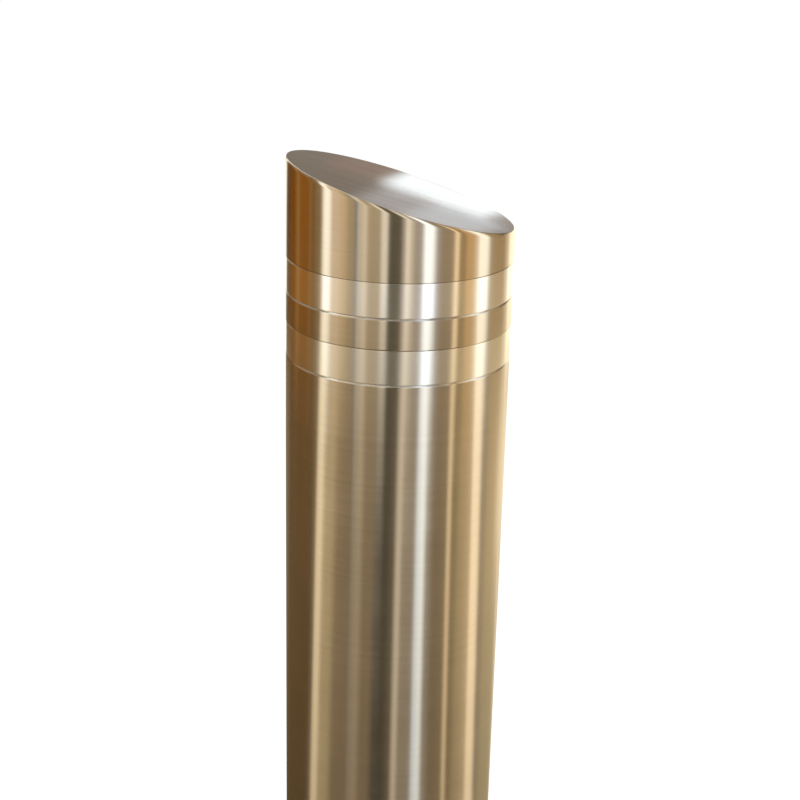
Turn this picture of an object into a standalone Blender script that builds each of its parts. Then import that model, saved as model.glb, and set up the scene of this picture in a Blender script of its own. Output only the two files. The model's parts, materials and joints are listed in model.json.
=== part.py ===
"""Retractable bollard, raised: a stainless post with a slanted cap, and the ground casing it sinks into.

A hydraulic ram inside the post lifts it. Rods guide its foot, and a bush under the cover guides its tube.

Metres, +Z up. The origin is the centre of the underside of the casing's base plate.
The slanted cap's high side faces -X, the cable conduit +Y and the drain +X.
The post and everything fixed to it hang from the empty post_slide, and slide down along Z by TRAVEL.
"""

import math

import bmesh
import bpy
from mathutils import Matrix, Vector

MM = 0.001

# Clearances
SEAT_GAP = 0.3 * MM  # between two pieces that seat on each other
SLIDE_GAP = 0.4 * MM  # between the post and what guides or wipes it
STROKE_MARGIN = 8 * MM  # left at both ends of the ram's stroke

# Post and slanted cap
POST_DIAMETER = 168 * MM
POST_WALL = 5 * MM
TRAVEL = 600 * MM
PROUD_WHEN_LOWERED = 5 * MM  # cap's low edge above the cover, post down
CAP_SLOPE = math.radians(16.6)
CAP_LOW_SKIRT = 22.6 * MM  # from the cap's seam up to its low edge
CAP_PLATE = 8 * MM
CAP_LEAN_LENGTH = 12 * MM  # of the cap's side, which leans in under its rim
CAP_LEAN = math.radians(19)  # at the end of that length
CAP_LEAN_GROWTH = 2.5  # power at which the lean grows
CAP_EDGE = 0.7 * MM  # rounding between the leaning side and the plate

# Reflective bands, in shallow grooves with a chamfered lower lip
BAND_GROOVE = 25.5 * MM
BAND_LAND = 23 * MM
GROOVE_DEPTH = 1.1 * MM
GROOVE_CHAMFER = 1.5 * MM
FILM_THICKNESS = 0.5 * MM

# Ring that joins cap, tube and crosshead
SPIGOT_RISE = 10 * MM  # into the cap
SPIGOT_DEPTH = 45 * MM  # into the tube
SPIGOT_WALL = 15 * MM
CROSSHEAD_THICKNESS = 12 * MM
CROSSHEAD_SCREWS = 3
CROSSHEAD_SCREW = 8 * MM  # thread, and height of the head
CROSSHEAD_SCREW_HEAD = 13 * MM
CROSSHEAD_SCREW_BITE = 18 * MM  # thread in the ring
LIGHTENING_HOLE = 32 * MM

# Post's foot, which runs on the guide rods
FOOT_THICKNESS = 15 * MM
FOOT_LEDGE = 16 * MM  # foot ring beyond the post
FOOT_LAND = 9 * MM  # foot ring inside the tube
FOOT_SPIGOT = 10 * MM
EAR_WALL = 5.7 * MM
BUSH_FLANGE = 4 * MM
BUSH_WALL = 3.7 * MM
BUSH_LIP = 3 * MM  # bush flange beyond the bush, and bush below the foot

# Guides
GUIDE_RODS = 3
FIRST_ROD_ANGLE = 30  # degrees
GUIDE_ROD_DIAMETER = 16 * MM
ROD_STUD_DIAMETER = 12 * MM
ROD_STUD_DEPTH = 8 * MM  # into the cover
ROD_TO_HOUSING = 3 * MM
STOP_COLLAR_HEIGHT = 20 * MM
STOP_COLLAR_WALL = 6.7 * MM
GUIDE_SPACING = 130 * MM  # free rod between stop collars and bush housing
POST_BUSH_WALL = 7 * MM
HOUSING_WALL = 6.3 * MM
HOUSING_HEIGHT = 60 * MM
HOUSING_LIP = 5 * MM

# Cover
COVER_THICKNESS = 12 * MM
COVER_LEDGE = 4 * MM  # thickness left under the wiper
COVER_BORE_GAP = 2 * MM
COVER_CHAMFER = 1.5 * MM
GASKET_THICKNESS = 3 * MM
COVER_SCREWS = 6
COVER_SCREW = 10 * MM
COVER_SCREW_HEAD = 20 * MM
COVER_SCREW_CONE = 5 * MM
COVER_SCREW_LAND = 0.6 * MM  # straight rim of the countersunk head
SOCKET_FLATS = 6 * MM
SOCKET_DEPTH = 4 * MM
WIPER_WIDTH = 8.3 * MM
WIPER_RISE = 3 * MM
WIPER_LIP = 0.8 * MM
WIPER_RELIEF = 1.5 * MM  # between the post and the wiper's body

# Casing
CASING_WALL = 5 * MM
CASING_TO_EAR = 4.5 * MM
CASING_FLANGE = 10 * MM
TAPPED_FLOOR = 1.5 * MM  # flange left under the cover screws' blind holes
FLANGE_LEDGE = 33.5 * MM  # casing flange beyond the barrel
BASE_SIDE = 300 * MM
BASE_THICKNESS = 8 * MM
BASE_CORNER = 20 * MM
SUMP_DEPTH = 60 * MM  # under the core's bottom plate
CONDUIT_DIAMETER = 50 * MM
DRAIN_DIAMETER = 42 * MM
PIPE_WALL = 3 * MM
PIPE_REACH = 28 * MM  # pipe stubs beyond the barrel
CONDUIT_BELOW_COVER = 300 * MM
ANCHOR_BARS = 4
ANCHOR_DIAMETER = 10 * MM
ANCHOR_LEG = 80 * MM
ANCHOR_BEND = 15 * MM
ANCHOR_REACH = 85 * MM
ANCHOR_BELOW_COVER = 480 * MM

# Core's bottom plate
CORE_PLATE = 12 * MM
CORE_PLATE_TO_CASING = 6.5 * MM
BUFFER_HEIGHT = 25 * MM
BUFFER_DIAMETER = 26 * MM
BUFFER_CHAMFER = 2 * MM
DRAIN_HOLES = 6
DRAIN_HOLE = 22 * MM

# Nuts, in thread diameters
NUT_FLATS = 1.5
NUT_HEIGHT = 0.8
THREAD_PROUD = 3 * MM  # thread beyond its nut

# Hydraulic ram
RAM_BORE = 40 * MM
RAM_WALL = 5 * MM
RAM_BASE_HEIGHT = 45 * MM
RAM_BASE_WALL = 4.7 * MM
RAM_SOCKET = 10 * MM  # tube into base and head
RAM_STUD_DIAMETER = 24 * MM
RAM_HEAD_HEIGHT = 40 * MM
RAM_COLLAR = 4 * MM
ROD_DIAMETER = 28 * MM
ROD_THREAD = 20 * MM
ROD_SPIGOT = 16 * MM
PISTON_HEIGHT = 30 * MM
SEAL_WIDTH = 5 * MM
SEAL_DEPTH = 2.5 * MM
PISTON_SEALS = 2
PORT_DIAMETER = 12 * MM
PORT_DEPTH = 8 * MM  # thread in the ram's base
PORT_HEX = 19 * MM
PORT_HEX_LENGTH = 11 * MM
PORT_LENGTH = 32 * MM
PORT_RISE = 12 * MM  # port's axis above the ram's underside
PORT_ANGLE = 60  # degrees, clear of rods and buffers

# End sensors on their rail
SENSOR_DIAMETER = 12 * MM
SENSOR_NUT = 18 * MM
SENSOR_NUT_HEIGHT = 4 * MM
SENSOR_REACH = 3 * MM  # sensor's face to the foot ring
SENSOR_TO_CASING = 2 * MM
RAIL_WIDTH = 22 * MM
RAIL_THICKNESS = 4 * MM
RAIL_TAB = 14 * MM
RAIL_TO_CASING = 9.5 * MM
RAIL_ANGLE = 210  # degrees, between two guide rods

# Facets of a full turn
BODY_FACETS = 48  # post, casing and all that is concentric with them
ROUND_FACETS = 16  # rods, ram, bushes and pipes
SCREW_FACETS = 8  # screws and sensors
LEAN_FACETS = 3  # down the cap's leaning side
RIM_FACETS = 1  # across the cap's rounded rim
CORNER_FACETS = 4  # around a quarter turn
EAR_FACETS = 8

# Radii, from the post outwards
post_radius = POST_DIAMETER / 2
post_inner = post_radius - POST_WALL
groove_radius = post_radius - GROOVE_DEPTH
insert_radius = post_inner - SEAT_GAP  # what fits inside the tube
post_bush_inner = post_radius + SLIDE_GAP
post_bush_outer = post_bush_inner + POST_BUSH_WALL
housing_outer = post_bush_outer + SEAT_GAP + HOUSING_WALL
rod_radius = GUIDE_ROD_DIAMETER / 2
guide_circle = housing_outer + ROD_TO_HOUSING + rod_radius
foot_outer = post_radius + FOOT_LEDGE
foot_inner = post_inner - FOOT_LAND
foot_bush_inner = rod_radius + SEAT_GAP
foot_bush_outer = foot_bush_inner + BUSH_WALL
ear_radius = foot_bush_outer + SEAT_GAP + EAR_WALL
casing_inner = guide_circle + ear_radius + CASING_TO_EAR
casing_outer = casing_inner + CASING_WALL
flange_outer = casing_outer + FLANGE_LEDGE
screw_circle = (casing_inner + flange_outer) / 2
core_plate_radius = casing_inner - CORE_PLATE_TO_CASING
buffer_circle = (foot_inner + foot_outer) / 2

# Heights, from the base plate upwards
core_bottom = BASE_THICKNESS + SUMP_DEPTH
core_top = core_bottom + CORE_PLATE
buffer_top = core_top + SEAT_GAP + BUFFER_HEIGHT
foot_bottom = buffer_top + SEAT_GAP + TRAVEL
foot_top = foot_bottom + FOOT_THICKNESS
foot_bush_top = foot_top + SEAT_GAP + BUSH_FLANGE
collar_top = foot_bush_top + SEAT_GAP + STOP_COLLAR_HEIGHT
housing_bottom = collar_top + GUIDE_SPACING
cover_bottom = housing_bottom + HOUSING_HEIGHT + SEAT_GAP
ground = cover_bottom + COVER_THICKNESS
flange_top = cover_bottom - GASKET_THICKNESS - 2 * SEAT_GAP
flange_bottom = flange_top - CASING_FLANGE
cap_low = ground + PROUD_WHEN_LOWERED + TRAVEL
cap_centre = cap_low + post_radius * math.tan(CAP_SLOPE)
seam = cap_low - CAP_LOW_SKIRT
upper_band_bottom = seam - BAND_GROOVE
lower_band_top = upper_band_bottom - BAND_LAND
lower_band_bottom = lower_band_top - BAND_GROOVE
crosshead_top = seam - SPIGOT_DEPTH - SEAT_GAP
crosshead_bottom = crosshead_top - CROSSHEAD_THICKNESS

# Ram, from its base to its head
ram_bore = RAM_BORE / 2
ram_tube_outer = ram_bore + RAM_WALL
ram_base_outer = ram_tube_outer + SEAT_GAP + RAM_BASE_WALL
ram_base_bottom = core_top + SEAT_GAP
ram_floor = ram_base_bottom + RAM_BASE_HEIGHT - RAM_SOCKET
ram_head_top = crosshead_bottom - TRAVEL - STROKE_MARGIN
ram_ceiling = ram_head_top - RAM_HEAD_HEIGHT + RAM_SOCKET
piston_nut_bottom = ram_floor + STROKE_MARGIN + THREAD_PROUD + TRAVEL
piston_bottom = piston_nut_bottom + NUT_HEIGHT * ROD_SPIGOT + SEAT_GAP
piston_top = piston_bottom + PISTON_HEIGHT

guide_angles = [FIRST_ROD_ANGLE + 360 / GUIDE_RODS * i for i in range(GUIDE_RODS)]
buffer_angles = [angle + 180 / GUIDE_RODS for angle in guide_angles]


def polar(radius, degrees, height=0.0):
    """The point at this radius, angle and height."""
    angle = math.radians(degrees)
    return Vector((radius * math.cos(angle), radius * math.sin(angle), height))


def clear_scene():
    for obj in list(bpy.data.objects):
        bpy.data.objects.remove(obj)


def make_material(name, colour, roughness, metallic):
    material = bpy.data.materials.new(name)
    material.use_nodes = True
    shader = material.node_tree.nodes["Principled BSDF"]
    shader.inputs["Base Color"].default_value = (*colour, 1.0)
    shader.inputs["Roughness"].default_value = roughness
    shader.inputs["Metallic"].default_value = metallic
    return material


def make_object(name, mesh, material, parent=None):
    """Links mesh as a smooth-shaded object with sharp edges kept."""
    obj = bpy.data.objects.new(name, mesh)
    bpy.context.scene.collection.objects.link(obj)
    obj.parent = parent
    if material:
        mesh.materials.append(material)
    mesh.shade_smooth()
    mesh.set_sharp_from_angle(angle=math.radians(30))
    return obj


def to_mesh(bm, name):
    bmesh.ops.recalc_face_normals(bm, faces=bm.faces)
    mesh = bpy.data.meshes.new(name)
    bm.to_mesh(mesh)
    bm.free()
    return mesh


def revolved(name, profile, facets):
    """The solid that a (radius, height) outline sweeps about Z. Ends on the axis stay unjoined."""
    bm = bmesh.new()
    verts = [bm.verts.new((radius, 0, height)) for radius, height in profile]
    on_axis = profile[0][0] == profile[-1][0] == 0
    following = verts[1:] if on_axis else verts[1:] + verts[:1]
    edges = [bm.edges.new(pair) for pair in zip(verts, following)]
    turn = {"cent": (0, 0, 0), "axis": (0, 0, 1), "angle": 2 * math.pi}
    bmesh.ops.spin(bm, geom=verts + edges, steps=facets, use_merge=True, **turn)
    bmesh.ops.remove_doubles(bm, verts=bm.verts, dist=0.001 * MM)
    return to_mesh(bm, name)


def turned(name, profile, facets, material, parent=None):
    return make_object(name, revolved(name, profile, facets), material, parent)


def section(inner, outer, bottom, top, chamfer=0.0):
    """The outline of a ring, or of a disc where inner is 0, with its outer corners chamfered."""
    points = [(inner, bottom), (outer - chamfer, bottom)]
    if chamfer:
        points += [(outer, bottom + chamfer), (outer, top - chamfer)]
    return points + [(outer - chamfer, top), (inner, top)]


def prism_mesh(name, outline, bottom, top):
    """The solid between two heights that has this (x, y) outline."""
    bm = bmesh.new()
    face = bm.faces.new([bm.verts.new((x, y, bottom)) for x, y in outline])
    grown = bmesh.ops.extrude_face_region(bm, geom=[face])["geom"]
    lifted = [item for item in grown if isinstance(item, bmesh.types.BMVert)]
    bmesh.ops.translate(bm, verts=lifted, vec=(0, 0, top - bottom))
    return to_mesh(bm, name)


def extruded(name, outline, bottom, top, material, parent=None):
    return make_object(name, prism_mesh(name, outline, bottom, top), material, parent)


def hexagon(flats):
    """The corners of a hexagon of this width across flats."""
    corner = flats / 2 / math.cos(math.radians(30))
    return [polar(corner, 60 * i).xy for i in range(6)]


def cut(obj, mesh, places=(Matrix.Identity(4),), operation="DIFFERENCE"):
    """Cuts the closed mesh, or joins it, at each of these places."""
    bm = bmesh.new()
    for place in places:
        copy = mesh.copy()
        copy.transform(place)
        bm.from_mesh(copy)
        bpy.data.meshes.remove(copy)
    tool = make_object(obj.name + "_tool", to_mesh(bm, obj.name + "_tool"), None, obj.parent)
    tool.hide_render = True
    tool.display_type = "WIRE"
    modifier = obj.modifiers.new("Cut", "BOOLEAN")
    modifier.operation = operation
    modifier.object = tool
    modifier.solver = "EXACT"
    return obj


def drill(obj, radius, bottom, top, spots, facets=SCREW_FACETS):
    """Bores round vertical holes at these spots."""
    hole = revolved("hole", section(0, radius, bottom, top), facets)
    return cut(obj, hole, [Matrix.Translation((spot.x, spot.y, 0)) for spot in spots])


def finish_mesh(obj):
    """Applies the cuts and removes their tools, so that copies can share the mesh."""
    bpy.context.view_layer.update()
    graph = bpy.context.evaluated_depsgraph_get()
    obj.data = bpy.data.meshes.new_from_object(obj.evaluated_get(graph))
    for modifier in obj.modifiers:
        bpy.data.objects.remove(modifier.object)
    obj.modifiers.clear()
    obj.data.shade_smooth()
    obj.data.set_sharp_from_angle(angle=math.radians(30))
    return obj


def repeated(first, name, places):
    """Moves first to the first place, and puts copies that share its mesh at the others."""
    for number, place in enumerate(places, start=1):
        obj = first if number == 1 else first.copy()
        obj.name = f"{name}_{number}"
        if obj is not first:
            bpy.context.scene.collection.objects.link(obj)
        obj.location = place.to_translation()
        obj.rotation_euler = place.to_euler()


def hex_nut(name, thread, bottom, material, parent=None):
    height = NUT_HEIGHT * thread
    nut = extruded(name, hexagon(NUT_FLATS * thread), bottom, bottom + height, material, parent)
    bore = section(0, thread / 2 + SEAT_GAP, bottom - height, bottom + 2 * height)
    return finish_mesh(cut(nut, revolved("bore", bore, ROUND_FACETS)))


def radial(degrees, height):
    """Turns a piece made along Z to point outwards at this angle and height."""
    turn = Matrix.Rotation(math.radians(degrees), 4, "Z") @ Matrix.Rotation(math.radians(90), 4, "Y")
    return Matrix.Translation((0, 0, height)) @ turn


def pipe_stub(name, diameter, degrees, height, barrel, material):
    """A pipe stub that stands out of the barrel, and the hole it sits in."""
    outer = diameter / 2
    inner_end = math.sqrt(casing_inner**2 - outer**2)
    hole = revolved("hole", section(0, outer + SEAT_GAP, inner_end / 2, 2 * casing_outer), ROUND_FACETS)
    cut(barrel, hole, [radial(degrees, height)])
    stub_section = section(outer - PIPE_WALL, outer, inner_end, casing_outer + PIPE_REACH)
    turned(name, stub_section, ROUND_FACETS, material).matrix_world = radial(degrees, height)


def rounded_square(side, radius):
    points = []
    for quarter in range(4):
        corner = polar((side / 2 - radius) * math.sqrt(2), 45 + 90 * quarter)
        arc = [90 * (quarter + i / CORNER_FACETS) for i in range(CORNER_FACETS + 1)]
        points += [(corner + polar(radius, degrees)).xy for degrees in arc]
    return points


def anchor_bar(number, degrees, material):
    """A bar welded up the barrel, then bent outwards into the concrete."""
    curve = bpy.data.curves.new(f"anchor_bar_{number}", "CURVE")
    curve.dimensions = "3D"
    curve.bevel_depth = ANCHOR_DIAMETER / 2
    curve.bevel_resolution = 2
    curve.use_fill_caps = True
    start = casing_outer + SEAT_GAP + ANCHOR_DIAMETER / 2
    foot = ground - ANCHOR_BELOW_COVER
    leg_top = foot + ANCHOR_LEG
    route = [(start, foot), (start, leg_top)]
    for i in range(1, CORNER_FACETS + 1):
        angle = math.pi / 2 * i / CORNER_FACETS
        route.append((start + ANCHOR_BEND * (1 - math.cos(angle)), leg_top + ANCHOR_BEND * math.sin(angle)))
    route.append((start + ANCHOR_REACH, leg_top + ANCHOR_BEND))
    spline = curve.splines.new("POLY")
    spline.points.add(len(route) - 1)
    for point, (radius, height) in zip(spline.points, route):
        point.co = (*polar(radius, degrees, height), 1)
    obj = bpy.data.objects.new(curve.name, curve)
    bpy.context.scene.collection.objects.link(obj)
    curve.materials.append(material)


def build_casing(steel):
    extruded("casing_base_plate", rounded_square(BASE_SIDE, BASE_CORNER), 0, BASE_THICKNESS, steel)
    barrel_section = section(casing_inner, casing_outer, BASE_THICKNESS + SEAT_GAP, flange_top)
    barrel = turned("casing_barrel", barrel_section, BODY_FACETS, steel)
    pipe_stub("conduit_stub", CONDUIT_DIAMETER, 90, ground - CONDUIT_BELOW_COVER, barrel, steel)
    pipe_stub("drain_stub", DRAIN_DIAMETER, 0, (BASE_THICKNESS + core_bottom) / 2, barrel, steel)
    flange_section = section(casing_outer + SEAT_GAP, flange_outer, flange_bottom, flange_top)
    flange = turned("casing_top_flange", flange_section, BODY_FACETS, steel)
    tapped = COVER_SCREW / 2 + SEAT_GAP
    drill(flange, tapped, flange_bottom + TAPPED_FLOOR, flange_top + CASING_FLANGE, cover_screw_spots())
    for i in range(ANCHOR_BARS):
        anchor_bar(i + 1, 45 + 360 / ANCHOR_BARS * i, steel)


def cover_screw_spots():
    return [polar(screw_circle, 360 / COVER_SCREWS * (i + 0.5)) for i in range(COVER_SCREWS)]


def countersunk(clearance, bottom, top):
    """The outline of a cover screw, or of its hole where there is a clearance."""
    shank = COVER_SCREW / 2 + clearance
    head = COVER_SCREW_HEAD / 2 + clearance
    rim = ground - SEAT_GAP - COVER_SCREW_LAND
    return [(0, bottom), (shank, bottom), (shank, rim - COVER_SCREW_CONE), (head, rim), (head, top), (0, top)]


def cover_screw(steel):
    profile = countersunk(0, flange_bottom + TAPPED_FLOOR + SEAT_GAP, ground - SEAT_GAP)
    screw = turned("cover_screw", profile, SCREW_FACETS, steel)
    socket = prism_mesh("socket", hexagon(SOCKET_FLATS), ground - SOCKET_DEPTH, ground + SOCKET_DEPTH)
    return finish_mesh(cut(screw, socket))


def build_cover(stainless, screw_steel, rubber):
    bore = post_radius + COVER_BORE_GAP
    recess = post_radius + SLIDE_GAP + WIPER_WIDTH + SEAT_GAP
    ledge = cover_bottom + COVER_LEDGE
    profile = [
        (bore, cover_bottom),
        (flange_outer, cover_bottom),
        (flange_outer, ground - COVER_CHAMFER),
        (flange_outer - COVER_CHAMFER, ground),
        (recess, ground),
        (recess, ledge),
        (bore, ledge),
    ]
    cover = turned("cover_flange", profile, BODY_FACETS, stainless)
    places = [Matrix.Translation(spot) for spot in cover_screw_spots()]
    hole = countersunk(SEAT_GAP, cover_bottom - COVER_THICKNESS, ground + COVER_THICKNESS)
    cut(cover, revolved("countersink", hole, SCREW_FACETS), places)
    stud_hole = ROD_STUD_DIAMETER / 2 + SEAT_GAP
    rods = [polar(guide_circle, angle) for angle in guide_angles]
    stud_top = cover_bottom + ROD_STUD_DEPTH + SEAT_GAP
    drill(cover, stud_hole, cover_bottom - COVER_THICKNESS, stud_top, rods, ROUND_FACETS)

    gasket_top = cover_bottom - SEAT_GAP
    gasket_section = section(casing_inner, flange_outer, gasket_top - GASKET_THICKNESS, gasket_top)
    gasket = turned("cover_gasket", gasket_section, BODY_FACETS, rubber)
    gasket_low = gasket_top - 2 * GASKET_THICKNESS
    drill(gasket, COVER_SCREW / 2 + SEAT_GAP, gasket_low, gasket_top + GASKET_THICKNESS, cover_screw_spots())
    repeated(cover_screw(screw_steel), "cover_screw", places)

    lip = post_radius + SLIDE_GAP
    wiper_top = ground + WIPER_RISE
    wiper = [
        (lip + WIPER_RELIEF, ledge + SEAT_GAP),
        (recess - SEAT_GAP, ledge + SEAT_GAP),
        (recess - SEAT_GAP, ground),
        (lip + WIPER_RELIEF + WIPER_RISE, ground),
        (lip + WIPER_LIP, wiper_top),
        (lip, wiper_top),
        (lip, ground),
        (lip + WIPER_RELIEF, ground - WIPER_RELIEF),
    ]
    turned("wiper_ring", wiper, BODY_FACETS, rubber)


def build_post_bush(steel, nylon):
    """The bush that guides the post under the cover, in its housing with an inward lip below."""
    pocket = post_bush_outer + SEAT_GAP
    top = cover_bottom - SEAT_GAP
    housing = [
        (post_radius + COVER_BORE_GAP, housing_bottom),
        (housing_outer, housing_bottom),
        (housing_outer, top),
        (pocket, top),
        (pocket, housing_bottom + HOUSING_LIP),
        (post_radius + COVER_BORE_GAP, housing_bottom + HOUSING_LIP),
    ]
    turned("bush_housing", housing, BODY_FACETS, steel)
    bush = section(post_bush_inner, post_bush_outer, housing_bottom + HOUSING_LIP + SEAT_GAP, top)
    turned("post_guide_bush", bush, BODY_FACETS, nylon)


def build_guides(steel, screw_steel):
    """Rods from the cover down through the bottom plate, with nuts below and collars that stop the foot."""
    stud = ROD_STUD_DIAMETER / 2
    nut_bottom = core_bottom - SEAT_GAP - NUT_HEIGHT * ROD_STUD_DIAMETER
    stud_bottom = nut_bottom - THREAD_PROUD
    rod_profile = [
        (0, stud_bottom),
        (stud, stud_bottom),
        (stud, core_top + SEAT_GAP),
        (rod_radius, core_top + SEAT_GAP),
        (rod_radius, cover_bottom - SEAT_GAP),
        (stud, cover_bottom - SEAT_GAP),
        (stud, cover_bottom + ROD_STUD_DEPTH),
        (0, cover_bottom + ROD_STUD_DEPTH),
    ]
    places = [Matrix.Translation(polar(guide_circle, angle)) for angle in guide_angles]
    repeated(turned("guide_rod", rod_profile, ROUND_FACETS, steel), "guide_rod", places)
    repeated(hex_nut("rod_nut", ROD_STUD_DIAMETER, nut_bottom, screw_steel), "rod_nut", places)
    inner = rod_radius + SEAT_GAP
    outer = inner + STOP_COLLAR_WALL
    collar_section = section(inner, outer, collar_top - STOP_COLLAR_HEIGHT, collar_top)
    repeated(turned("stop_collar", collar_section, ROUND_FACETS, screw_steel), "stop_collar", places)


def build_core_plate(steel, rubber):
    plate_section = section(0, core_plate_radius, core_bottom, core_top)
    plate = turned("core_bottom_plate", plate_section, 2 * ROUND_FACETS, steel)
    low, high = core_bottom - CORE_PLATE, core_top + CORE_PLATE
    rods = [polar(guide_circle, angle) for angle in guide_angles]
    drill(plate, ROD_STUD_DIAMETER / 2 + SEAT_GAP, low, high, rods, ROUND_FACETS)
    drill(plate, RAM_STUD_DIAMETER / 2 + SEAT_GAP, low, high, [Vector((0, 0, 0))], ROUND_FACETS)
    drain_circle = (ram_base_outer + buffer_circle) / 2
    drains = [polar(drain_circle, 360 / DRAIN_HOLES * i) for i in range(DRAIN_HOLES)]
    drill(plate, DRAIN_HOLE / 2, low, high, drains)
    buffer_section = section(0, BUFFER_DIAMETER / 2, core_top + SEAT_GAP, buffer_top, BUFFER_CHAMFER)
    places = [Matrix.Translation(polar(buffer_circle, angle)) for angle in buffer_angles]
    repeated(turned("bottom_buffer", buffer_section, ROUND_FACETS, rubber), "bottom_buffer", places)


def build_sensors(steel, plastic):
    """A C-shaped rail beside the post, with a sensor that faces the foot ring at each end of its travel."""
    outer = casing_inner - RAIL_TO_CASING
    inner = outer - RAIL_THICKNESS
    bottom, top = core_top + SEAT_GAP, cover_bottom - SEAT_GAP
    outline = [
        (inner - RAIL_TAB, bottom),
        (outer, bottom),
        (outer, top),
        (inner - RAIL_TAB, top),
        (inner - RAIL_TAB, top - RAIL_THICKNESS),
        (inner, top - RAIL_THICKNESS),
        (inner, bottom + RAIL_THICKNESS),
        (inner - RAIL_TAB, bottom + RAIL_THICKNESS),
    ]
    rail = extruded("sensor_rail", outline, -RAIL_WIDTH / 2, RAIL_WIDTH / 2, steel)
    upright = Matrix.Rotation(math.radians(90), 4, "X")
    rail.data.transform(Matrix.Rotation(math.radians(RAIL_ANGLE), 4, "Z") @ upright)
    raised = (foot_bottom + foot_top) / 2
    heights = {"upper_end_sensor": raised, "lower_end_sensor": raised - TRAVEL}
    places = {name: radial(RAIL_ANGLE, height) for name, height in heights.items()}
    hole = section(0, SENSOR_DIAMETER / 2 + SEAT_GAP, inner - RAIL_TAB / 2, casing_inner)
    cut(rail, revolved("hole", hole, SCREW_FACETS), places.values())
    body, nut = SENSOR_DIAMETER / 2, SENSOR_NUT / 2
    face, tail = foot_outer + SENSOR_REACH, casing_inner - SENSOR_TO_CASING
    profile = [
        (0, face),
        (body, face),
        (body, inner - SEAT_GAP - SENSOR_NUT_HEIGHT),
        (nut, inner - SEAT_GAP - SENSOR_NUT_HEIGHT),
        (nut, inner - SEAT_GAP),
        (body, inner - SEAT_GAP),
        (body, outer + SEAT_GAP),
        (nut, outer + SEAT_GAP),
        (nut, outer + SEAT_GAP + SENSOR_NUT_HEIGHT),
        (body, outer + SEAT_GAP + SENSOR_NUT_HEIGHT),
        (body, tail),
        (0, tail),
    ]
    for name, place in places.items():
        turned(name, profile, SCREW_FACETS, plastic).matrix_world = place


def build_port(base, steel):
    """The oil port's hole in the side of the ram's base, and the hexagonal fitting in it."""
    place = radial(PORT_ANGLE, ram_base_bottom + PORT_RISE)
    radius = PORT_DIAMETER / 2
    end = ram_base_outer - PORT_DEPTH
    hole = section(0, radius + SEAT_GAP, end - SEAT_GAP, 2 * ram_base_outer)
    cut(base, revolved("hole", hole, ROUND_FACETS), [place])
    shoulder = ram_base_outer + SEAT_GAP
    fitting = turned("hydraulic_port", section(0, radius, end, shoulder + PORT_LENGTH), ROUND_FACETS, steel)
    hexagonal = prism_mesh("hexagonal", hexagon(PORT_HEX), shoulder, shoulder + PORT_HEX_LENGTH)
    finish_mesh(cut(fitting, hexagonal, operation="UNION")).matrix_world = place


def build_ram(black, screw_steel):
    stud = RAM_STUD_DIAMETER / 2
    nut_bottom = core_bottom - SEAT_GAP - NUT_HEIGHT * RAM_STUD_DIAMETER
    stud_bottom = nut_bottom - THREAD_PROUD
    socket = ram_tube_outer + SEAT_GAP
    base_top = ram_base_bottom + RAM_BASE_HEIGHT
    base_profile = [
        (0, stud_bottom),
        (stud, stud_bottom),
        (stud, ram_base_bottom),
        (ram_base_outer, ram_base_bottom),
        (ram_base_outer, base_top),
        (socket, base_top),
        (socket, ram_floor),
        (0, ram_floor),
    ]
    base = turned("ram_base", base_profile, ROUND_FACETS, black)
    build_port(base, screw_steel)
    hex_nut("ram_base_nut", RAM_STUD_DIAMETER, nut_bottom, screw_steel)
    tube = section(ram_bore, ram_tube_outer, ram_floor + SEAT_GAP, ram_ceiling - SEAT_GAP)
    turned("ram_tube", tube, ROUND_FACETS, black)
    rod_bore = ROD_DIAMETER / 2 + SEAT_GAP
    head_bottom = ram_head_top - RAM_HEAD_HEIGHT
    head = [
        (rod_bore, ram_ceiling),
        (socket, ram_ceiling),
        (socket, head_bottom),
        (ram_base_outer, head_bottom),
        (ram_base_outer, ram_head_top - RAM_COLLAR),
        (ram_tube_outer, ram_head_top - RAM_COLLAR),
        (ram_tube_outer, ram_head_top),
        (rod_bore, ram_head_top),
    ]
    turned("ram_head", head, ROUND_FACETS, black)


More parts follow.
